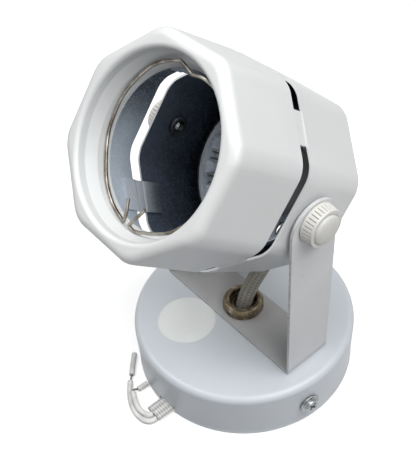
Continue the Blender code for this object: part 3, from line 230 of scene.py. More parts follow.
class Finish(Nodes):
    """A material of nodes around one Principled shader."""

    def __init__(self, name, colour, roughness, metallic=0.0, **constants):
        self.material = bpy.data.materials.new(name)
        self.material.use_nodes = True
        super().__init__(self.material.node_tree)
        self.shader = self.tree.nodes["Principled BSDF"]
        self.set("Base Color", colour)
        self.set("Roughness", roughness)
        self.set("Metallic", metallic)
        for socket, value in constants.items():
            self.set(socket.replace("_", " "), value)

    def set(self, socket, value):
        self.plug(self.shader.inputs[socket], value)

    def place(self):
        """Where a point is on the object, in metres."""
        return self.node("ShaderNodeTexCoord", {}, {})[3]

    def uv(self):
        return self.node("ShaderNodeTexCoord", {}, {})[2]

    def split(self, vector):
        return self.node("ShaderNodeSeparateXYZ", {}, {0: vector})

    def noise(self, scale, detail=2.0, rough=0.5, vector=None):
        return self.node("ShaderNodeTexNoise", {}, {
            "Vector": vector or self.place(), "Scale": scale, "Detail": detail,
            "Roughness": rough})[0]

    def specks(self, scale, reach, core, spread, detail, low, high):
        """Scattered round specks, where a wider noise lets them show."""
        near = self.node("ShaderNodeTexVoronoi", {}, {"Vector": self.place(), "Scale": scale})[0]
        return near.step(reach, core) * self.noise(spread, detail).step(low, high)

    def stretched(self, scale):
        return self.node("ShaderNodeMapping", {}, {"Vector": self.place(), "Scale": scale})[0]

    def mix(self, low, high, factor):
        """From the low colour at 0 to the high colour at 1."""
        return self.node("ShaderNodeMix", {"data_type": "RGBA"}, {0: factor, 6: low, 7: high})[2]

    def clouded(self, dark, light, scale, high=0.7):
        """Wanders between two colours in soft clouds."""
        return self.mix(dark, light, self.noise(scale, 3.0).step(0.3, high))

    def done(self, base, roughness, height=None, distance=0.0, strength=1.0):
        """Plugs in the colour, the roughness and a bump whose distance is in metres."""
        self.set("Base Color", base)
        self.set("Roughness", roughness)
        if height:
            self.set("Normal", self.node("ShaderNodeBump", {}, {
                "Height": height, "Distance": distance, "Strength": strength})[0])
        return self.material

    def along_head(self):
        """Distances from the head's axis and along it, in metres, on Object coordinates."""
        x, y, z = self.split(self.place())
        z = z - PIVOT_HEIGHT * MM
        forward = z * math.sin(TILT) - y * math.cos(TILT)
        up = y * math.sin(TILT) + z * math.cos(TILT)
        return x, up, forward


def enamel(name, colour):
    """Sprayed white enamel: a faint orange peel, a little dust in the paint, soft gloss."""
    coat = Finish(name, colour, 0.3, IOR=1.5)
    base = coat.clouded(tuple(c * 0.965 for c in colour), colour, 28.0)
    specks = coat.specks(150.0, 0.030, 0.018, 47.0, 0.0, 0.60, 0.66)
    peel = coat.noise(650.0, 1.0)
    grit = coat.specks(210.0, 0.10, 0.02, 31.0, 0.0, 0.62, 0.70)
    return coat.done(coat.mix(base, (0.20, 0.20, 0.21), specks),
                     0.26 + 0.10 * coat.noise(60.0, 2.0), peel * 0.02 + grit * 0.5, 0.0002, 0.6)


def yoke_enamel():
    """The same paint on the strip, chipped along its cut edges and with drops dried on an arm."""
    coat = Finish("yoke_enamel", (0.74, 0.745, 0.755), 0.3, IOR=1.5)
    x, y, z = coat.split(coat.place())
    base = coat.clouded((0.70, 0.705, 0.72), (0.75, 0.755, 0.765), 28.0)
    # Painted shade: the low part of the strip, under the head, is darkened a little unevenly.
    under_head_shade = (1.0 - z.step(0.0335, 0.0365)) * (0.75 + 0.25 * coat.noise(45.0, 3.0).step(0.3, 0.7))
    base = coat.mix(base, (0.46, 0.455, 0.45), under_head_shade * 0.8)
    edge = abs(y).step(0.01325, 0.0137) * z.step(0.034, 0.040)
    chip = edge * coat.noise(420.0, 4.0, 0.7).step(0.57, 0.63)
    rub = edge * coat.noise(90.0, 3.0).step(0.50, 0.62) * 0.45
    base = coat.mix(base, (0.30, 0.29, 0.28), rub)
    base = coat.mix(base, (0.07, 0.065, 0.06), chip)
    specks = coat.specks(120.0, 0.030, 0.018, 47.0, 0.0, 0.58, 0.64)
    drips = None
    for along, height, lean in ((-7.4, 101.8, 0.5), (-6.0, 99.6, -0.6), (-7.8, 96.8, 0.8),
                                (-5.7, 105.0, 0.3)):
        across, rise = y - along * MM, z - height * MM
        slant = across - rise * lean
        spot = 1.0 - (slant * slant * 9.0 + rise * rise).step(0.2e-6, 1.3e-6)
        drips = spot if drips is None else drips.most(spot)
    peel = coat.noise(650.0, 1.0)
    return coat.done(coat.mix(base, (0.15, 0.15, 0.16), specks),
                     0.30 + 0.10 * coat.noise(60.0, 2.0) + 0.2 * chip,
                     peel * 0.02 - chip * 0.5 + drips * x.step(0.047, 0.0485) * 1.6, 0.0002, 0.7)


def inside_coat(name, dark, light, spray_and_shade_from, spray_and_shade_to, top_shade_from=0.2, top_shade_to=0.3, grit=0.34):
    """A thin dull coat inside the head with overspray specks. It is lighter towards the mouth and
    darker behind, part thicker overspray and part painted shade; painted shade towards the top."""
    coat = Finish(name, dark, 0.5, IOR=1.45)
    x, up, forward = coat.along_head()
    drift = coat.noise(35.0, 2.0) * 0.012 - 0.006
    # Painted shade: darker towards the top and towards -X, along a wandering edge.
    top_shade = (up - x * 0.6 + drift).step(top_shade_from, top_shade_to)
    # Lighter towards the mouth: partly thicker overspray, partly painted shade deeper inside.
    spray_and_shade = (forward + drift).step(spray_and_shade_from, spray_and_shade_to) * (1.0 - top_shade)
    fine = coat.noise(1150.0, 2.0, 0.65)
    coarse = coat.noise(420.0, 3.0, 0.7)
    grain = (fine * 0.65 + coarse * 0.35).step(0.47, 0.61)
    base = coat.mix(dark, light, spray_and_shade * 0.86 + grain * (grit - spray_and_shade * grit * 0.65))
    specks = coat.specks(900.0, 0.16, 0.08, 160.0, 1.0, 0.52, 0.66)
    base = coat.mix(base, tuple(min(1.0, 1.8 * c) for c in light), specks * 0.2)
    return coat.done(base, 0.42 + 0.2 * grain, grain, 0.00006, 0.7)


def zinc(name, colour, roughness):
    """Bright zinc plate with fine turning marks and dull spots."""
    plate = Finish(name, colour, roughness, 1.0)
    base = plate.clouded(tuple(0.55 * c for c in colour), colour, 350.0, 0.62)
    return plate.done(base, roughness - 0.08 + 0.22 * plate.noise(700.0, 3.0),
                      plate.noise(1800.0, 2.0), 0.00003, 0.5)


def aged_brass():
    """Brown old brass whose plating is worn bright in patches."""
    brass = Finish("aged_brass", (0.30, 0.22, 0.15), 0.34, 1.0)
    patch = brass.noise(260.0, 5.0, 0.62)
    fine = brass.noise(1300.0, 3.0, 0.6)
    brown = brass.mix((0.12, 0.09, 0.055), (0.22, 0.175, 0.115), fine.step(0.35, 0.7))
    worn = (patch + fine * 0.18).step(0.58, 0.80)
    base = brass.mix(brown, (0.36, 0.33, 0.27), worn)
    pits = brass.specks(900.0, 0.13, 0.06, 300.0, 1.0, 0.5, 0.6)
    return brass.done(brass.mix(base, (0.05, 0.03, 0.02), pits * 0.8),
                      0.40 - 0.10 * worn + 0.1 * fine,
                      fine * 0.35 - pits + worn * 0.2, 0.00006, 0.6)


def spring_wire():
    """Drawn nickel-plated wire gone brown in places."""
    wire = Finish("spring_wire", (0.42, 0.36, 0.30), 0.28, 1.0)
    patch = wire.noise(140.0, 4.0, 0.6)
    streak = wire.noise(1.0, 2.0, 0.5, wire.stretched((2500.0, 700.0, 2500.0)))
    base = wire.mix((0.13, 0.105, 0.08), (0.44, 0.41, 0.365),
                    (patch + streak * 0.25).step(0.42, 0.78))
    return wire.done(base, 0.20 + 0.22 * patch, streak, 0.00003, 0.6)


def warm_plastic():
    """Warm white moulded plastic, a little yellowed, with painted shade in the grip's grooves."""
    plastic = Finish("warm_white_plastic", (0.79, 0.785, 0.76), 0.42, Subsurface_Weight=0.06,
                     Subsurface_Radius=(0.002, 0.0016, 0.0012))
    base = plastic.clouded((0.73, 0.72, 0.68), (0.80, 0.795, 0.77), 90.0)
    x, y, z = plastic.split(plastic.place())
    out, rise = abs(x), z - PIVOT_HEIGHT * MM
    ridge = 0.0163 - 0.131 * out
    # Painted shade: darker in the grooves between the grip's flutes.
    groove_shade = (ridge * ridge - y * y - rise * rise).step(1.6e-6, 8.0e-6)
    grip = out.step(0.0497, 0.0502) * (1.0 - out.step(0.0542, 0.0545))
    return plastic.done(plastic.mix(base, (0.44, 0.42, 0.37), groove_shade * grip * 0.8),
                        0.38 + 0.12 * plastic.noise(240.0, 2.0),
                        plastic.noise(2600.0, 2.0), 0.00004, 0.5)


def vent_sheet():
    """Grey galvanised sheet with drifts of white overspray, a painted highlight along the rim and
    painted shadow in the hollows beside the vent ring's bridges."""
    sheet = Finish("vent_sheet", (0.30, 0.34, 0.40), 0.42, 0.2)
    drift = sheet.noise(120.0, 4.0, 0.65)
    fine = sheet.noise(1400.0, 2.0, 0.6)
    x, up, forward = sheet.along_head()
    base = sheet.mix((0.34, 0.39, 0.46), (0.66, 0.72, 0.80),
                     (drift * 0.6 + fine * 0.4).step(0.38, 0.62))
    # Painted highlight: a thin bright line along the inner edge of the seat's flange.
    rim = forward.step((VENT_SEAT - 0.8) * MM, (VENT_SEAT - 0.5) * MM) * (
        x * x + up * up).step(0.0328 ** 2, 0.0331 ** 2)
    base = sheet.mix(base, (0.80, 0.83, 0.87), rim)
    specks = sheet.specks(800.0, 0.15, 0.07, 150.0, 1.0, 0.5, 0.62)
    base = sheet.mix(base, (0.75, 0.78, 0.82), specks * 0.7)
    # Painted shadow: dark bands beside each bridge, along its slits, between the seat and the
    # back.
    turn = up.angle(x) * (BRIDGES / (2 * math.pi)) + (2 * BRIDGES + 0.5)
    from_middle = abs(turn.fraction() - 0.5)
    behind = forward.step(VENT_BACK * MM, (VENT_BACK + 7.0) * MM)
    before = 1.0 - forward.step((VENT_SEAT - 2.2) * MM, (VENT_SEAT - 1.2) * MM)
    hollow = (1.0 - abs(from_middle - 0.31).step(0.06, 0.13)) * behind * before
    return sheet.done(sheet.mix(base, (0.03, 0.035, 0.04), hollow * 0.85), 0.35 + 0.2 * fine,
                      fine, 0.00006, 0.6)


def porcelain():
    """Cream glazed porcelain with pinholes and faint iron spots."""
    glaze = Finish("porcelain", (0.80, 0.75, 0.66), 0.22, Coat_Weight=0.5, Coat_Roughness=0.1)
    spots = glaze.specks(330.0, 0.06, 0.03, 90.0, 1.0, 0.52, 0.6)
    base = glaze.clouded((0.74, 0.69, 0.60), (0.83, 0.79, 0.71), 80.0)
    return glaze.done(glaze.mix(base, (0.35, 0.24, 0.14), spots * 0.7),
                      0.18 + 0.12 * glaze.noise(200.0, 2.0),
                      glaze.noise(300.0, 2.0) - spots, 0.00008, 0.5)


def braid(name, light, dark, columns, rows):
    """Braided glass fibre on its own UV: crossing bundles of fine yarns, in columns and rows."""
    cloth = Finish(name, light, 0.8, Sheen_Weight=0.15)
    around, along, unused = cloth.split(cloth.uv())
    a = (around * columns + along * rows) * math.pi
    b = (around * columns - along * rows) * math.pi
    crest = a.wave() * b.wave()
    yarns = ((around * columns * 5 + along * rows * 5) * math.pi).wave() * 0.5 + 0.5
    fuzz = cloth.noise(1900.0, 2.0, 0.6)
    # Painted shade: the colour darkens from the bundles' crests into the hollows between them.
    base = cloth.mix(dark, light, (crest * 0.5 + 0.5 + fuzz * 0.35).step(0.18, 0.95))
    stain = cloth.noise(70.0, 3.0).step(0.45, 0.75)
    return cloth.done(cloth.mix(base, tuple(0.72 * c for c in light), stain * 0.35),
                      0.72 + 0.2 * fuzz, crest * 0.5 + yarns * 0.22 + fuzz * 0.3, 0.00022, 0.8)


def rubber():
    """White silicone rubber with finger marks and dust."""
    skin = Finish("wire_rubber", (0.78, 0.78, 0.76), 0.5, Subsurface_Weight=0.05,
                  Subsurface_Radius=(0.001, 0.001, 0.001))
    marks = skin.noise(190.0, 4.0, 0.6)
    base = skin.mix((0.66, 0.655, 0.64), (0.81, 0.81, 0.79), marks.step(0.35, 0.62))
    return skin.done(base, 0.42 + 0.2 * marks, skin.noise(1500.0, 2.0), 0.00005, 0.6)


def tinned():
    """Fine tinned strands, oxidised dark."""
    tin = Finish("tinned_strands", (0.30, 0.28, 0.26), 0.38, 1.0)
    patch = tin.noise(900.0, 3.0)
    base = tin.mix((0.14, 0.12, 0.11), (0.46, 0.44, 0.42), patch.step(0.35, 0.65))
    return tin.done(base, 0.3 + 0.25 * patch)


def paper():
    """Blank matt white paper, darker towards its edge."""
    sheet = Finish("sticker_paper", (0.86, 0.87, 0.86), 0.45)
    fibre = sheet.noise(900.0, 4.0, 0.7)
    x, y, z = sheet.split(sheet.place())
    across, along = x - STICKER_PLACE[0] * MM, y - STICKER_PLACE[1] * MM
    rim = (across * across + along * along).step(
        ((STICKER_RADIUS - 1.2) * MM) ** 2, (STICKER_RADIUS * MM) ** 2)
    base = sheet.clouded((0.87, 0.895, 0.885), (0.92, 0.945, 0.935), 60.0)
    base = sheet.mix(base, (0.74, 0.75, 0.75), rim * 0.6)
    return sheet.done(sheet.mix(base, (0.84, 0.85, 0.83), fibre.step(0.55, 0.7) * 0.4),
                      0.5 + 0.15 * fibre, fibre, 0.00003, 0.5)


SHELL_WHITE = enamel("shell_enamel", (0.785, 0.80, 0.80))
CANOPY_WHITE = enamel("canopy_enamel", (0.71, 0.755, 0.80))
YOKE_WHITE = yoke_enamel()
FRONT_INSIDE = inside_coat("front_inside", (0.10, 0.13, 0.18), (0.79, 0.89, 0.99), -0.010, 0.030,
                           0.008, 0.046)
REAR_INSIDE = inside_coat("rear_inside", (0.008, 0.011, 0.018), (0.15, 0.19, 0.26), -0.034, 0.044,
                          grit=0.55)
STRAP_INSIDE = inside_coat("strap_inside", (0.10, 0.115, 0.14), (0.86, 0.92, 1.0), 0.007, 0.020,
                           grit=0.10)
ZINC = zinc("zinc_plate", (0.40, 0.41, 0.42), 0.24)
DULL_ZINC = zinc("dull_zinc", (0.17, 0.18, 0.20), 0.38)
BRASS = aged_brass()
SPRING = spring_wire()
PLASTIC = warm_plastic()
VENT = vent_sheet()
PORCELAIN = porcelain()
LAMP_BRAID = braid("lamp_sleeve_braid", (0.43, 0.41, 0.35), (0.24, 0.225, 0.18), 10, 62)
SUPPLY_BRAID = braid("supply_sleeve_braid", (0.74, 0.74, 0.72), (0.34, 0.34, 0.33), 9, 52)
RUBBER = rubber()
TIN = tinned()
PAPER = paper()


# ---------------------------------------------------------------- making pieces

def pick(piece):
    bpy.ops.object.select_all(action="DESELECT")
    piece.select_set(True)
    bpy.context.view_layer.objects.active = piece


def edit(piece):
    """Opens a piece for editing, with all of it selected."""
    pick(piece)
    bpy.ops.object.mode_set(mode="EDIT")
    bpy.ops.mesh.select_mode(type="VERT")
    bpy.ops.mesh.select_all(action="SELECT")


def leave():
    bpy.ops.object.mode_set(mode="OBJECT")


def choose(piece, kind, test):
    """In edit mode, selects just the vertices, edges or faces that pass a test."""
    names = {"VERT": "verts", "EDGE": "edges", "FACE": "faces"}
    bpy.ops.mesh.select_mode(type=kind)
    bpy.ops.mesh.select_all(action="DESELECT")
    shape = bmesh.from_edit_mesh(piece.data)
    for item in getattr(shape, names[kind]):
        if test(item):
            item.select_set(True)
    shape.select_flush_mode()
    bmesh.update_edit_mesh(piece.data)


def middle(item):
    """The middle of an edge or a face, in millimetres."""
    return sum((v.co for v in item.verts), Vector()) / len(item.verts) / MM


def named(name):
    piece = bpy.context.object
    piece.name = piece.data.name = name
    return piece


def add_circle(name, radius, height, steps, turn=0.0):
    bpy.ops.object.select_all(action="DESELECT")
    bpy.ops.mesh.primitive_circle_add(vertices=steps, radius=radius * MM,
                                      location=(0, 0, height * MM), rotation=(0, 0, turn))
    bpy.ops.object.transform_apply()
    return named(name)


def add_block(name, low, high):
    size = [(b - a) * MM for a, b in zip(low, high)]
    centre = [(a + b) / 2 * MM for a, b in zip(low, high)]
    bpy.ops.object.select_all(action="DESELECT")
    bpy.ops.mesh.primitive_cube_add(size=1.0, location=centre, scale=size)
    bpy.ops.object.transform_apply()
    return named(name)


def extrude(x=0.0, y=0.0, z=0.0):
    """Extrudes what is selected by a way in millimetres."""
    bpy.ops.mesh.extrude_region_move(TRANSFORM_OT_translate={"value": (x * MM, y * MM, z * MM)})


def shift(x=0.0, y=0.0, z=0.0):
    bpy.ops.transform.translate(value=(x * MM, y * MM, z * MM))


def widen(scale, height=0.0):
    """Scales what is selected about the Z axis."""
    bpy.ops.transform.resize(value=(scale, scale, 1), center_override=(0, 0, height * MM))


def draw_on(profile):
    """Extrudes the selected ring through (radius, height) pairs about the Z axis."""
    for (r0, z0), (r1, z1) in zip(profile, profile[1:]):
        extrude(z=z1 - z0)
        widen(r1 / r0, z1)


def arc(x, z, radius, start, end, steps, first=0):
    """Points on an arc about (x, z), between two angles in degrees."""
    turns = [math.radians(start + (end - start) * k / steps) for k in range(first, steps + 1)]
    return [(x + radius * math.cos(a), z + radius * math.sin(a)) for a in turns]


def rounded(corners, steps=6, support=0.3):
    """(across, along, rounding) corners as points, with a support point beside each rounding."""
    points = []
    for i, (x, y, rounding) in enumerate(corners):
        here = Vector((x, y))
        if not rounding:
            points.append((x, y))
            continue
        back = (Vector(corners[i - 1][:2]) - here)
        on = (Vector(corners[(i + 1) % len(corners)][:2]) - here)
        opening = back.angle(on)
        back.normalize()
        on.normalize()
        reach = rounding / math.tan(opening / 2)
        centre = here + (back + on).normalized() * (rounding / math.sin(opening / 2))
        first = here + back * reach - centre
        last = here + on * reach - centre
        start = math.atan2(first.y, first.x)
        sweep = math.atan2(last.y, last.x) - start
        sweep = (sweep + math.pi) % (2 * math.pi) - math.pi
        if support:
            points.append(tuple(centre + first + back * support))
        for k in range(steps + 1):
            a = start + sweep * k / steps
            points.append((centre.x + rounding * math.cos(a), centre.y + rounding * math.sin(a)))
        if support:
            points.append(tuple(centre + last + on * support))
    return points


def close_up(piece, fill=True):
    """Merges doubles, fills what is still open and turns the faces outwards."""
    edit(piece)
    bpy.ops.mesh.remove_doubles(threshold=2e-6)
    if fill:
        bpy.ops.mesh.fill_holes(sides=0)
    bpy.ops.mesh.select_all(action="SELECT")
    bpy.ops.mesh.normals_make_consistent(inside=False)
    leave()


def turned(name, profile, steps=96):
    """A turned piece. A profile that ends where it starts makes a ring."""
    piece = add_circle(name, profile[0][0], profile[0][1], steps)
    edit(piece)
    draw_on(profile)
    leave()
    close_up(piece)
    return piece


def modify(piece, kind, **settings):
    pick(piece)
    modifier = piece.modifiers.new(kind.lower(), kind)
    for key, value in settings.items():
        setattr(modifier, key, value)
    bpy.ops.object.modifier_apply(modifier=modifier.name)


def soften(piece, width, segments=2, angle=40):
    """Rounds the sharp edges of a piece."""
    modify(piece, "BEVEL", width=width * MM, segments=segments, limit_method="ANGLE",
           angle_limit=math.radians(angle), harden_normals=False)


def cut(piece, cutter):
    modify(piece, "BOOLEAN", operation="DIFFERENCE", solver="EXACT", object=cutter)
    bpy.data.objects.remove(cutter, do_unlink=True)


def face_right(sheet):
    """Turns an open sheet's faces over if its largest one looks to the left."""
    if max(sheet.data.polygons, key=lambda face: face.area).normal.x < 0:
        edit(sheet)
        bpy.ops.mesh.flip_normals()
        leave()


def smooth(piece, angle=35, weighted=True):
    pick(piece)
    bpy.ops.object.shade_smooth_by_angle(angle=math.radians(angle))
    if weighted:
        modify(piece, "WEIGHTED_NORMAL", keep_sharp=True, weight=60)


def settle(piece, matrix):
    """Moves a piece to its place and puts that place in its mesh."""
    pick(piece)
    piece.matrix_world = matrix
    bpy.ops.object.transform_apply(location=True, rotation=True, scale=True)


def add_object(name, data):
    made = bpy.data.objects.new(name, data)
    bpy.context.scene.collection.objects.link(made)
    return made


def twin(piece, name):
    copy = piece.copy()
    copy.data = piece.data.copy()
    copy.name = copy.data.name = name
    bpy.context.scene.collection.objects.link(copy)
    return copy


def dress(piece, body, slot, finishes, *nodes):
    """Gives a finished piece its materials and its body, and hides the node that it stands for."""
    piece.data.materials.clear()
    for finish in finishes:
        piece.data.materials.append(finish)
    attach(piece, body)
    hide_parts(*nodes)


def fit_in_head(piece, slot, finish, node, angle=35, weighted=True):
    """Smooths a piece drawn along the head's axis, turns it to its place and dresses it."""
    smooth(piece, angle, weighted)
    settle(piece, HEAD)
    dress(piece, "head", slot, [finish], node)


def wire_line(name, points):
    """A line of edges through points, drawn by extruding one vertex."""
    bpy.ops.object.select_all(action="DESELECT")
    bpy.ops.mesh.primitive_plane_add(size=MM, location=points[0])
    bpy.ops.object.transform_apply()
    piece = named(name)
    edit(piece)
    bpy.ops.mesh.merge(type="CENTER")
    for here, on in zip(points, points[1:]):
        bpy.ops.mesh.extrude_region_move(TRANSFORM_OT_translate={"value": on - here})
    leave()
    return piece


def wire(name, points, diameter, sides=4):
    """A round wire along points: its line made a curve, thickened and made a mesh again."""
    pick(wire_line(name, points))
    bpy.ops.object.convert(target="CURVE")
    curve = bpy.context.object.data
    curve.bevel_depth = diameter / 2 * MM
    curve.bevel_resolution = sides
    curve.use_fill_caps = True
    bpy.ops.object.convert(target="MESH")
    piece = named(name)
    close_up(piece, fill=False)
    return piece


def smooth_way(points, spacing):
    """A smooth curve through points in millimetres, as points in metres a spacing apart."""
    points = [Vector(p) * MM for p in points]
    ends = [2 * points[0] - points[1]] + points + [2 * points[-1] - points[-2]]
    found = []
    for a, b, c, d in zip(ends, ends[1:], ends[2:], ends[3:]):
        parts = max(1, round((c - b).length / (spacing * MM)))
        for i in range(parts):
            t = i / parts
            found.append(0.5 * (2 * b + (c - a) * t + (2 * a - 5 * b + 4 * c - d) * t ** 2
                                + (3 * b - a - 3 * c + d) * t ** 3))
    return found + [points[-1]]


def way_length(points):
    return sum((b - a).length for a, b in zip(points, points[1:]))


# ---------------------------------------------------------------- cords

def braided_tube(name, path, width, height, columns, rows, relief):
    """A braided sleeve as a mesh tube with its own UV map. Its crests stand up in the mesh."""
    around = columns * 8
    shape = bmesh.new()
    layer = shape.loops.layers.uv.new("braid")
    grid = []
    total = way_length(path)
    gone = 0.0
    shares = []
    for i, point in enumerate(path):
        if i:
            gone += (point - path[i - 1]).length
        share = gone / total
        shares.append(share)
        along = (path[min(i + 1, len(path) - 1)] - path[max(i - 1, 0)]).normalized()
        side = (Vector((1, 0, 0)) - along * along.x).normalized()
        rise = along.cross(side)
        line = []
        for k in range(around):
            a = 2 * math.pi * k / around
            u = k / around
            crest = math.cos((u * columns + share * rows) * math.pi) * math.cos(
                (u * columns - share * rows) * math.pi)
            lift = relief * MM * (crest - 1.0)
            w, h = width(share) / 2 * MM + lift, height(share) / 2 * MM + lift
            at = point + side * (w * math.cos(a)) + rise * (h * math.sin(a))
            line.append(shape.verts.new(at))
        grid.append(line)
    for i in range(len(grid) - 1):
        for k in range(around):
            n = (k + 1) % around
            face = shape.faces.new((grid[i][k], grid[i][n], grid[i + 1][n], grid[i + 1][k]))
            face.smooth = True
            corners = ((k, i), (k + 1, i), (k + 1, i + 1), (k, i + 1))
            for loop, (column, row) in zip(face.loops, corners):
                loop[layer].uv = (column / around, shares[row])
    for line in (grid[0], grid[-1]):
        shape.faces.new(line)
    bmesh.ops.recalc_face_normals(shape, faces=shape.faces)
    mesh = bpy.data.meshes.new(name)
    shape.to_mesh(mesh)
    shape.free()
    return add_object(name, mesh)


def flatness(share):
    """How far the supply sleeve is pressed flat at a share of its length."""
    place = share * (len(SUPPLY_FLATNESS) - 1)
    low = min(int(place), len(SUPPLY_FLATNESS) - 2)
    return SUPPLY_FLATNESS[low] + (SUPPLY_FLATNESS[low + 1] - SUPPLY_FLATNESS[low]) * (place - low)


def make_lamp_sleeve():
    path = smooth_way(LAMP_SLEEVE, 0.42)
    sleeve = braided_tube("lamp_sleeve_braided", path, lambda s: 8.6, lambda s: 8.6, 10, 62, 0.14)
    sleeve.data.materials.append(LAMP_BRAID)
    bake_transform(sleeve)
    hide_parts("lamp_sleeve")


def make_supply_lead():
    path = smooth_way(SUPPLY_SLEEVE, 0.5)
    sleeve = braided_tube("supply_sleeve_braided", path, lambda s: 8.6 + 2.0 * flatness(s),
                          lambda s: 8.6 - 4.8 * flatness(s), 9, 52, 0.12)
    dress(sleeve, "canopy", "glass_fibre_braid", [SUPPLY_BRAID], "supply_sleeve")
    wire_way = smooth_way(WIRE_1, 1.0)
    for name, node, way, size, finish in (
            ("wire_long", "supply_wire_1", wire_way, 3.0, RUBBER),
            ("wire_short", "supply_wire_2", smooth_way(WIRE_2, 1.0), 3.0, RUBBER),
            ("strands_long", "wire_strands_1", smooth_way(STRANDS_1, 0.5), 1.2, TIN),
            ("strands_short", "wire_strands_2", smooth_way(STRANDS_2, 0.5), 1.2, TIN),
            ("slug_long", "wire_slug_1", smooth_way(SLUG_1, 1.0), 3.0, RUBBER),
            ("slug_short", "wire_slug_2", smooth_way(SLUG_2, 1.0), 3.0, RUBBER)):
        piece = wire(name, way, size, 6)
        soften(piece, 0.2, 2, 50)
        smooth(piece)
        slot = "tinned_strands" if finish is TIN else "wire_rubber"
        dress(piece, "canopy", slot, [finish], node)
    way_length(path)
    way_length(wire_way)


# ---------------------------------------------------------------- canopy and what it carries

def make_canopy():
    """The pressed cover, its rim's bead, the lead's notch and the side screws' holes."""
    side, top = CANOPY_SIDE, CANOPY_HEIGHT
    inside, under = side - CANOPY_SHEET, top - CANOPY_SHEET
    profile = [(CANOPY_HOLE, top)] + rounded(
        [(12.0, top, 0), (side, top, 3.6), (side, 5.2, 0), (side, 4.4, 0), (side, 3.6, 0),
         (side, 1.9, 0.3), (CANOPY_RADIUS, 1.3, 0.35), (CANOPY_RADIUS, 0.0, 0.5),
         (inside, 0.0, 0.3), (inside, 3.6, 0), (inside, 5.2, 0), (inside, under, 2.6),
         (CANOPY_HOLE, under, 0)], 8)
    canopy = turned("canopy", profile + [(CANOPY_HOLE, top)], 256)
    cut(canopy, add_block("notch", (-2.0, -68.0, -8.0), (9.6, -52.0, 4.5)))
    holes = turned("side_hole", [(2.3, -70.0), (2.3, 70.0)], 32)
    settle(holes, Matrix.Translation((0, 0, SIDE_SCREW_HEIGHT * MM))
           @ Matrix.Rotation(SIDE_SCREW_ANGLE, 4, "Z") @ Matrix.Rotation(math.pi / 2, 4, "Y"))
    cut(canopy, holes)
    smooth(canopy)
    dress(canopy, "canopy", "white_enamel", [CANOPY_WHITE], "canopy_cover")

    for name in ("mounting_bar", "swivel_washer", "swivel_lower_nut"):
        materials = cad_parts[name].data.materials
        materials.clear()
        materials.append(ZINC)


def make_side_screws():
    """A screw with its flange, domed head and cross recess, and its twin on the other side."""
    profile = rounded([(2.0, -9.0, 0), (2.0, 0.0, 0), (5.6, 0.0, 0.15), (5.6, 1.0, 0.35),
                       (4.1, 1.0, 0.2), (3.8, 1.2, 0), (3.8, 2.2, 0), (3.5, 3.1, 0.9),
                       (1.2, 3.1, 0)], 5, 0.05)
    right = turned("canopy_screw_r", profile, 64)
    for turn in (45, 135):
        slot = add_block("recess", (-2.4, -0.5, 1.9), (2.4, 0.5, 4.5))
        settle(slot, Matrix.Rotation(math.radians(turn), 4, "Z"))
        cut(right, slot)
    soften(right, 0.12, 2, 50)
    smooth(right)
    left = twin(right, "canopy_screw_l")
    for screw, angle, node in ((right, SIDE_SCREW_ANGLE, "canopy_screw_right"),
                               (left, SIDE_SCREW_ANGLE + math.pi, "canopy_screw_left")):
        reach = SIDE_SCREW_SEAT * MM
        settle(screw, Matrix.Translation((reach * math.cos(angle), reach * math.sin(angle),
                                          SIDE_SCREW_HEIGHT * MM))
               @ Matrix.Rotation(angle, 4, "Z") @ Matrix.Rotation(math.pi / 2, 4, "Y"))
        dress(screw, "canopy", "zinc_steel", [ZINC], node)


def make_swivel():
    """The hollow threaded nipple and the round nut, with a key slot on each side."""
    z = NIPPLE_BOTTOM
    profile = [(NIPPLE_BORE, z), (6.1, z)]
    while z < NIPPLE_TOP - 1.2:
        profile += [(6.5, z + 0.5), (6.2, z + 1.0)]
        z += 1.0
    profile += [(6.4, NIPPLE_TOP - 0.6), (6.1, NIPPLE_TOP), (NIPPLE_BORE, NIPPLE_TOP),
                (NIPPLE_BORE, NIPPLE_BOTTOM)]
    nipple = turned("nipple", profile, 64)
    smooth(nipple, 30, False)
    dress(nipple, "canopy", "aged_brass", [BRASS], "swivel_nipple")

    low = YOKE_BOTTOM + YOKE_SHEET + 0.3
    top = low + 5.7
    nut = turned("swivel_ring_nut", [(6.8, low)] + rounded(
        [(10.6, low, 0), (11.0, low + 0.4, 0.2), (11.0, low + 3.4, 1.6), (9.9, top - 0.1, 1.6),
         (7.9, top, 0.4), (7.3, top - 0.6, 0.3), (7.3, low + 2.4, 0), (6.8, low + 1.9, 0)],
        6, 0.05) + [(6.8, low)], 96)
    for y in (-10.9, 10.9):
        cut(nut, add_block("notch", (-0.75, y - 1.1, low + 0.9), (0.75, y + 1.1, low + 2.6)))
    soften(nut, 0.15, 2, 50)
    smooth(nut)
    dress(nut, "canopy", "aged_brass", [BRASS], "swivel_nut")


def make_sticker():
    low = CANOPY_HEIGHT + 0.05
    rim = STICKER_RADIUS
    disc = turned("round_sticker", [(0.5, low), (rim - 0.05, low), (rim, low + 0.05),
                                    (rim - 0.08, low + 0.1), (rim - 0.6, low + 0.1),
                                    (0.5, low + 0.1)], 128)
    settle(disc, Matrix.Translation((STICKER_PLACE[0] * MM, STICKER_PLACE[1] * MM, 0)))
    smooth(disc, 50, False)
    dress(disc, "canopy", "sticker_paper", [PAPER], "blank_sticker")


# ---------------------------------------------------------------- yoke

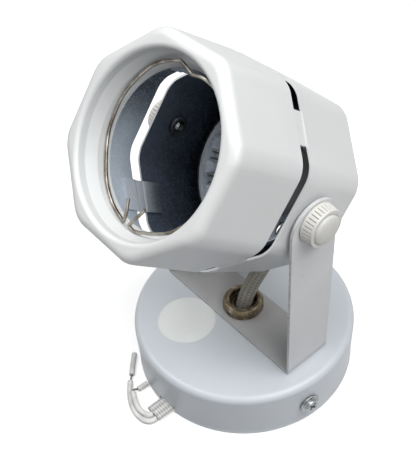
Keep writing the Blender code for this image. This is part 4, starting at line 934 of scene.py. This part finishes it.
def make_yoke():
    """Half the strip's outer face, from an arm's round end down, round the bend and to the middle.
    It is mirrored and thickened afterwards."""
    half = YOKE_HALF_WIDTH
    drop = PIVOT_HEIGHT - YOKE_BOTTOM - YOKE_BEND
    spans, support = (20.0, 30.0, 30.0), 0.5
    strip = add_circle("yoke_strip", 2.7, 0, 64)
    edit(strip)
    draw_on([(2.7, 0), (3.4, 0)])
    for old, new, centre, drift in ((3.4, 8.0, 0.0, 1.5), (8.0, half - 0.6, 1.5, 1.5),
                                    (half - 0.6, half, 3.0, 0.0)):
        extrude()
        bpy.ops.transform.resize(value=(new / old, new / old, 1),
                                 center_override=(centre * MM, 0, 0))
        shift(drift)
    choose(strip, "EDGE", lambda e: e.is_boundary and middle(e).x > ARM_END_DROP and abs(
        (middle(e) - Vector((ARM_END_DROP, 0, 0))).length - half) < 0.2)
    extrude()
    bpy.ops.transform.resize(value=(0, 1, 1), center_override=(0, 0, 0))
    shift(spans[0])
    for reach in (*spans[1:], drop - (sum(spans) + support), support):
        extrude(reach)
    bpy.ops.mesh.spin(steps=8, angle=-math.pi / 2, center=(drop * MM, 0, -YOKE_BEND * MM),
                      axis=(0, 1, 0))
    inward, last = ARM_OUTER - YOKE_BEND, 20.0
    for reach in (support, inward - (last + support), last):
        extrude(z=-reach)
    leave()
    close_up(strip, fill=False)
    settle(strip, Matrix(((0, 0, 1, ARM_OUTER * MM), (0, 1, 0, 0), (-1, 0, 0, PIVOT_HEIGHT * MM),
                          (0, 0, 0, 1))))
    face_right(strip)
    modify(strip, "MIRROR", merge_threshold=1e-5)
    modify(strip, "SOLIDIFY", thickness=YOKE_SHEET * MM, offset=-1.0, use_even_offset=True)
    cut(strip, turned("bore", [(6.8, 25.0), (6.8, 36.0)], 64))
    soften(strip, 0.35, 3, 60)
    smooth(strip)
    dress(strip, "yoke", "white_enamel", [YOKE_WHITE], "yoke_bracket")


# ---------------------------------------------------------------- head

def octagon(name, width, height):
    """A ring of eight flats with rounded corners, its flats divided evenly."""
    ring = add_circle(name, width / 2 / math.cos(math.pi / 8), height, 8, math.pi / 8)
    edit(ring)
    bpy.ops.mesh.bevel(offset=CORNER * math.tan(math.pi / 8) * MM, offset_type="OFFSET",
                       segments=7, affect="VERTICES")
    longest = 4.0 * MM
    choose(ring, "EDGE", lambda e: e.calc_length() > longest)
    bpy.ops.mesh.subdivide(number_cuts=13)
    bpy.ops.mesh.select_all(action="SELECT")
    return ring


def make_shell(name, closed_width, mouth, end, edge, throat, walls, seat, depth):
    """A pressed shell that closes at +Z: eight flats drawn in to a round throat and a seat."""
    shell = octagon(name, MOUTH_WIDTH, mouth)
    foot = end - edge
    taper = closed_width / MOUTH_WIDTH
    side = [(1.0, mouth), (1.0 + (taper - 1) * 0.05, mouth + 0.05 * (foot - mouth)),
            (1.0 + (taper - 1) * 0.5, (mouth + foot) / 2),
            (1.0 + (taper - 1) * 0.96, foot - 0.04 * (foot - mouth)), (taper, foot)]
    side += [(x / (MOUTH_WIDTH / 2), z) for x, z in arc(
        closed_width / 2 - edge, foot, edge, 0, 90, 9, 1)]
    draw_on(side)
    drawn = [v.co.xy.length for v in bmesh.from_edit_mesh(shell.data).verts if v.select]
    opening = throat + SHELL_LIP
    scale = opening / (sum(drawn) / len(drawn) / MM)
    extrude()
    bpy.ops.transform.tosphere(value=1.0)
    widen(scale, end)
    floor, narrow = end - depth, walls[-1][0]
    draw_on([(opening, end)] + arc(opening, end - SHELL_LIP, SHELL_LIP, 90, 180, 8, 1)
            + rounded([(throat, end - SHELL_LIP - 0.3, 0)] + [(r, end - z, 1.5) for r, z in walls]
                      + [(narrow, floor + 1.2, 0)], 5, 0.1)
            + arc(narrow - 0.8, floor + 0.8, 0.8, 0, -90, 4) + [(seat, floor)])
    leave()
    edit(shell)
    bpy.ops.mesh.normals_make_consistent(inside=False)
    leave()
    return shell


def make_head_shells():
    """Both shells, thickened with their inside coats, and a hair smaller than drawn so that their
    round edges stay within the faceted solids."""
    front = make_shell("front_shell_pressed", **FRONT_SHELL)
    rear = make_shell("rear_shell_pressed", **REAR_SHELL)
    settle(rear, Matrix.Rotation(math.pi, 4, "X"))
    shells = ((front, FRONT_INSIDE, "front_shell"), (rear, REAR_INSIDE, "rear_shell"))
    for shell, inner, node in shells:
        shell.data.materials.append(SHELL_WHITE)
        shell.data.materials.append(inner)
        modify(shell, "SOLIDIFY", thickness=SHELL_SHEET * MM, offset=-1.0, use_even_offset=True,
               material_offset=1, material_offset_rim=0)
        soften(shell, 0.22, 3, 60)
    holes = turned("boss_hole", [(4.2, -70.0), (4.2, 70.0)], 32)
    settle(holes, Matrix.Rotation(math.pi / 2, 4, "Y"))
    cut(rear, holes)
    for shell, inner, node in shells:
        smooth(shell, 40)
        settle(shell, HEAD @ Matrix.Scale(JUST_INSIDE, 4))
        numbers = [p.material_index for p in shell.data.polygons]
        dress(shell, "head", "white_enamel", [SHELL_WHITE, inner], node)
        for face, number in zip(shell.data.polygons, numbers):
            face.material_index = number


def make_straps():
    """A bent strap welded inside both shells, copied to four of the flats."""
    path = rounded([(43.94, 6.0, 0), (44.3, 14.9, 0.5), (44.88, 15.6, 0.4), (44.88, 20.7, 0.4),
                    (44.3, 21.4, 0.5), (44.0, 28.3, 0)], 4, 0)
    strap = wire_line("strap", [Vector((x, 0, z)) * MM for x, z in path])
    edit(strap)
    shift(y=-STRAP_HALF_WIDTH)
    for k in range(6):
        extrude(y=STRAP_HALF_WIDTH / 3)
    bpy.ops.mesh.select_all(action="SELECT")
    bpy.ops.mesh.normals_make_consistent(inside=False)
    leave()
    face_right(strap)
    modify(strap, "SOLIDIFY", thickness=SHELL_SHEET * MM, offset=-1.0, use_even_offset=True)
    soften(strap, 0.15, 2, 60)
    smooth(strap)
    for k in range(4):
        turn = math.radians(45 + 90 * k)
        step = 3.0 * MM if k == 2 else 0.0
        one = twin(strap, "strap_%d" % (k + 1))
        dress(one, "head", "white_enamel", [STRAP_INSIDE, SHELL_WHITE],
              "joining_strap_%d" % (k + 1))
        for face in one.data.polygons:
            if face.center.x / MM > 44.45 and face.normal.x > -0.2:
                face.material_index = 1
        one.parent = None
        settle(one, HEAD @ Matrix.Translation((-step * math.sin(turn), step * math.cos(turn), 0))
               @ Matrix.Rotation(turn, 4, "Z"))
        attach(one, "head")
    bpy.data.objects.remove(strap, do_unlink=True)


def make_retaining_ring():
    """The wire ring. It rests on the seat on one side and leans forward on the other."""
    way = [(x, up, RING_MIDDLE + RING_LEAN[0] * x + RING_LEAN[1] * up + lift)
           for x, up, lift in RING_WAY]
    ring = wire("retaining_wire", smooth_way(way, 0.8), RING_WIRE, 5)
    soften(ring, 0.12, 2, 50)
    fit_in_head(ring, "spring_steel", SPRING, "retaining_ring", 50, False)


def make_vent_ring():
    """A cone of sheet. Each bridge is slit free along its sides and pushed inwards."""
    mouth = VENT_SEAT - 0.35
    shares = (0.0, 0.06, 0.12, 0.22, 0.34, 0.5, 0.66, 0.78, 0.88, 0.94, 1.0)
    wide, drawn_in = 32.3, 9.3
    rows = [(wide - drawn_in * s, mouth + (VENT_BACK - mouth) * s) for s in shares]
    cone = add_circle("vent_cone", 34.3, mouth, 192)
    edit(cone)
    draw_on([(34.3, mouth), (32.8, mouth)] + rows + [(22.4, VENT_BACK), (19.8, VENT_BACK)])
    slope = Vector((VENT_BACK - mouth, -drawn_in)).normalized()

    def sector(point):
        """How far a point is from the middle of its bridge, in degrees."""
        a = math.degrees(math.atan2(point.y, point.x)) % (360 / BRIDGES)
        return min(a, 360 / BRIDGES - a)

    def beside_bridge(face):
        at = middle(face)
        return rows[8][1] < at.z < rows[1][1] and 5.7 < sector(at) < 7.4

    choose(cone, "FACE", beside_bridge)
    bpy.ops.mesh.delete(type="FACE")
    for row, lift in ((2, 0.7), (3, 1.4), (4, 1.9), (5, 2.0), (6, 1.9), (7, 1.2)):
        radius, height = rows[row]
        choose(cone, "VERT", lambda v: abs(v.co.z / MM - height) < 0.01 and sector(v.co) < 5.8)
        widen((radius + lift * slope.x) / radius)
        shift(z=-lift * slope.y)
    leave()
    modify(cone, "SOLIDIFY", thickness=VENT_SHEET * MM, offset=0.0, use_even_offset=True)
    fit_in_head(cone, "grey_sheet", VENT, "vent_ring", 40)


def make_lampholder():
    """The sheet can and, inside it, the porcelain body with its threaded shell and contact."""
    radius, inside, back = CAN_RADIUS, CAN_RADIUS - CAN_SHEET, CAN_BACK + CAN_SHEET
    can = turned("holder_can", [(19.8, CAN_FRONT)] + rounded(
        [(radius, CAN_FRONT, 0.4), (radius, CAN_BACK, 2.0), (6.0, CAN_BACK, 0), (6.0, back, 0),
         (inside, back, 1.2), (inside, CAN_FRONT - CAN_SHEET, 0),
         (19.8, CAN_FRONT - CAN_SHEET, 0)], 6, 0.1) + [(19.8, CAN_FRONT)], 128)
    fit_in_head(can, "grey_sheet", VENT, "lampholder_can")

    back, front, floor = HOLDER_BACK, HOLDER_FRONT, HOLDER_BACK + 7.0
    radius, waist = HOLDER_RADIUS, HOLDER_RADIUS - 0.5
    body = turned("holder_body", [(4.6, back)] + rounded(
        [(radius, back, 0.8), (radius, front - 9.0, 0.3), (waist, front - 8.6, 0.3),
         (waist, front - 7.4, 0.3), (radius, front - 7.0, 0.3), (radius, front, 2.2),
         (14.4, front, 0.8), (14.4, floor, 0.4), (4.6, floor, 0)], 5, 0.05) + [(4.6, back)], 128)
    fit_in_head(body, "porcelain", PORCELAIN, "lampholder_body")

    low, height = floor + 0.3, 18.15
    wave, pitch, turns = 3.63, 3.5, 5
    thread = wire_line("screw_shell", [Vector(
        (13.3 - 0.4 * math.cos(2 * math.pi * k / 12), 0, low + wave * k / 12)) * MM
        for k in range(13)])
    modify(thread, "SCREW", axis="Z", angle=2 * math.pi, screw_offset=pitch * MM, iterations=turns,
           steps=64, render_steps=64, use_merge_vertices=True, merge_threshold=1e-5)
    modify(thread, "SOLIDIFY", thickness=0.4 * MM, offset=0.0)
    close_up(thread, fill=False)
    squeeze = Matrix.Diagonal((1, 1, height / (turns * pitch + wave), 1))
    settle(thread, Matrix.Translation((0, 0, low * MM)) @ squeeze
           @ Matrix.Translation((0, 0, -low * MM)))
    fit_in_head(thread, "aged_brass", BRASS, "threaded_shell", 60, False)

    tongue = wire_line("contact_tongue", [Vector((x, 0, z)) * MM for x, z in rounded(
        [(-11.6, low + 0.35, 0), (-4.6, low + 0.35, 1.5), (2.6, low + 3.35, 1.2),
         (5.8, low + 3.35, 0)], 5, 0)])
    edit(tongue)
    shift(y=-2.9)
    extrude(y=5.8)
    leave()
    modify(tongue, "SOLIDIFY", thickness=0.6 * MM, offset=0.0)
    soften(tongue, 0.12, 2, 60)
    fit_in_head(tongue, "spring_steel", SPRING, "centre_contact")

    seat = CAN_BACK - 0.3
    screw = turned("holder_screw", [(0.3, -40.3), (1.2, -40.3), (1.5, -40.7), (1.5, seat)]
                   + rounded([(2.8, seat, 0.1), (2.8, seat - 1.2, 0.8), (1.6, seat - 1.8, 1.0),
                              (0.3, seat - 1.8, 0)], 4, 0.05), 48)
    cut(screw, add_block("slot", (-3.5, -0.4, seat - 3.0), (3.5, 0.4, seat - 1.0)))
    soften(screw, 0.08, 1, 50)
    smooth(screw)
    other = twin(screw, "holder_screw_l")
    for piece, side, node in ((screw, 1, "lampholder_screw_right"),
                              (other, -1, "lampholder_screw_left")):
        settle(piece, HEAD @ Matrix.Translation((side * 13.5 * MM, 0, 0))
               @ Matrix.Rotation(math.radians(35 * side), 4, "Z"))
        dress(piece, "head", "zinc_steel", [ZINC], node)

    inside = CAN_BACK + CAN_SHEET
    bush = turned("can_bush", [(4.6, inside)] + rounded(
        [(5.7, inside, 0.3), (5.7, seat, 0), (7.6, seat, 0.3), (7.6, seat - 1.6, 0.9),
         (4.6, seat - 1.6, 0.5), (4.6, CAN_BACK - 0.6, 0)], 5, 0.05) + [(4.6, inside)], 64)
    fit_in_head(bush, "porcelain", PORCELAIN, "sleeve_bush")


def make_pivots():
    """Each side's boss, threaded stud, fluted knob and domed cap, drawn outwards along Z."""
    inner, outer = 43.73, 46.8
    boss = turned("pivot_boss_r", [(2.7, outer)] + rounded(
        [(3.9, outer, 0.2), (3.9, inner, 0.2), (5.0, inner, 0.2), (5.0, inner - 1.8, 0.5),
         (2.7, inner - 1.8, 0)], 4, 0.05) + [(2.7, outer)], 64)
    smooth(boss)

    tip, end = 41.1, 51.7
    profile = [(0.4, tip), (1.6, tip), (1.9, tip + 0.4)]
    z = tip + 0.8
    while z < outer + 0.1:
        profile += [(2.35, z), (2.0, z + 0.35)]
        z += 0.7
    stud = turned("knob_stud_r", profile + [(2.4, z), (2.4, end), (0.4, end)], 32)
    smooth(stud, 30, False)

    base, face = KNOB_BASE, KNOB_FACE
    grip = [(9.9 - 0.8 * (z - base) / (face - base), z) for z in
            (base + 1.0, base + 1.2, base + 1.45, base + 3.6, face - 1.1, face - 0.9, face - 0.72)]
    profile = rounded([(2.7, base, 0), (9.3, base, 0), (9.9, base, 0.3), (9.78, base + 0.8, 0)],
                      3, 0)
    profile += grip + rounded([(9.18, face - 0.65, 0), (9.1, face, 0.35), (7.2, face, 0.25),
                               (7.2, face - 3.0, 0), (2.7, face - 3.0, 0)], 3, 0.02)
    knob = turned("knob_r", profile + [(2.7, base)], KNOB_FLUTES * 10)
    edit(knob)
    for (radius, height), depth in zip(grip, (0.0, 0.5, 1.0, 1.0, 1.0, 0.5, 0.0)):
        if not depth:
            continue
        for place, share in ((0, 1.0), (1, 0.62)):
            def groove(v):
                step = round(math.atan2(v.co.y, v.co.x) / (2 * math.pi) * KNOB_FLUTES * 10) % 10
                return abs(v.co.z / MM - height) < 0.01 and abs(
                    v.co.xy.length / MM - radius) < 0.02 and min(step, 10 - step) == place
            choose(knob, "VERT", groove)
            widen(1.0 - 0.56 * share * depth / radius, height)
    leave()
    smooth(knob, 50)

    edge = face + 0.2
    dome = [(7.1, face - 2.5), (7.1, edge - 0.3), (7.0, edge)]
    for k in range(1, 12):
        a = math.radians(7.5 * k)
        dome.append((7.0 * math.cos(a), edge + 1.8 * math.sin(a)))
    cap = turned("knob_cap_r", dome, 96)
    smooth(cap, 50)

    for piece, slot, finish, node, body in (
            (boss, "zinc_steel", DULL_ZINC, "tilt_boss_", "head"),
            (stud, "zinc_steel", ZINC, "knob_stud_", "knob"),
            (knob, "warm_white_plastic", PLASTIC, "knob_", "knob"),
            (cap, "warm_white_plastic", PLASTIC, "knob_cap_", "knob")):
        other = twin(piece, piece.name[:-1] + "l")
        for one, side, matrix in ((piece, "right", RIGHT), (other, "left", LEFT)):
            settle(one, matrix)
            dress(one, body if body == "head" else side + "_knob", slot, [finish], node + side)


make_lamp_sleeve()
make_supply_lead()
make_canopy()
make_side_screws()
make_swivel()
make_sticker()
make_yoke()
make_head_shells()
make_straps()
make_retaining_ring()
make_vent_ring()
make_lampholder()
make_pivots()


# ---------------------------------------------------------------- floor, light and camera

def make_stage():
    """A pale floor that keeps the object's shadow and is white to the camera."""
    bpy.ops.mesh.primitive_plane_add(size=4.0)
    floor = named("floor")
    paint = Finish("floor_white", (0.86, 0.86, 0.86), 0.9)
    rays = paint.node("ShaderNodeLightPath", {}, {})
    seen = rays[0].most(rays[3] * MIRRORED_WHITE).most(rays[6])
    paint.set("Base Color", paint.mix((0.20, 0.20, 0.21), (0.86, 0.86, 0.86), seen))
    paint.set("Emission Color", paint.mix((0.0, 0.0, 0.0), (1.0, 1.0, 1.0), seen))
    paint.set("Emission Strength", 0.42)
    floor.data.materials.append(paint.material)


def make_world():
    """Surroundings that light the object faintly and are white to the camera and in mirrors."""
    world = bpy.data.worlds.new("studio")
    bpy.context.scene.world = world
    world.use_nodes = True
    studio = Nodes(world.node_tree)
    rays = studio.node("ShaderNodeLightPath", {}, {})
    faint = studio.node("ShaderNodeBackground", {}, {0: (0.93, 0.97, 1.0), 1: 0.02})[0]
    white = studio.node("ShaderNodeBackground", {}, {0: (1.0, 1.0, 1.0), 1: 1.0})[0]
    seen = rays[0].most(rays[3] * MIRRORED_WHITE)
    mixed = studio.node("ShaderNodeMixShader", {}, {0: seen, 1: faint, 2: white})[0]
    studio.plug(world.node_tree.nodes["World Output"].inputs[0], mixed)


def direction(azimuth, elevation):
    """A direction in degrees, its azimuth from the front towards the right, as a unit vector."""
    azimuth, elevation = math.radians(azimuth), math.radians(elevation)
    return Vector((math.sin(azimuth) * math.cos(elevation),
                   -math.cos(azimuth) * math.cos(elevation), math.sin(elevation)))


def lamp(name, azimuth, elevation, power):
    """A round soft lamp."""
    away = direction(azimuth, elevation)
    light = bpy.data.lights.new(name, "AREA")
    light.shape = "DISK"
    light.size = LAMP_SIZE
    light.energy = power
    holder = add_object(name, light)
    holder.location = away * LAMP_DISTANCE + Vector((0, 0, LAMP_AIM))
    holder.rotation_euler = away.to_track_quat("Z", "Y").to_euler()


def make_camera():
    """The photograph's view: direction, roll, place, focal length and the crop's shift."""
    azimuth, elevation, roll = CAMERA_ANGLES
    back = direction(azimuth, elevation)
    right = Vector((0, 0, 1)).cross(back).normalized()
    up = back.cross(right)
    c, s = math.cos(math.radians(roll)), math.sin(math.radians(roll))
    right, up = c * right + s * up, c * up - s * right
    data = bpy.data.cameras.new("camera")
    width, height = PHOTO_SIZE
    data.sensor_width = SENSOR
    data.lens = FOCAL_LENGTH * SENSOR / height
    data.shift_x = (width / 2 - PHOTO_MIDDLE[0]) / height
    data.shift_y = (PHOTO_MIDDLE[1] - height / 2) / height
    data.clip_start = 0.01
    camera = add_object("camera", data)
    turn = Matrix((right, up, back)).transposed().to_4x4()
    camera.matrix_world = Matrix.Translation(CAMERA_PLACE) @ turn
    bpy.context.scene.camera = camera


make_stage()
make_world()
lamp("window", 110, 60, 8.4)
lamp("right_wall", 72, 40, 3.9)
lamp("left_wall", -58, 56, 4.3)
lamp("ceiling", -24, 76, 5.6)
make_camera()
bpy.context.scene.view_settings.view_transform = "Standard"
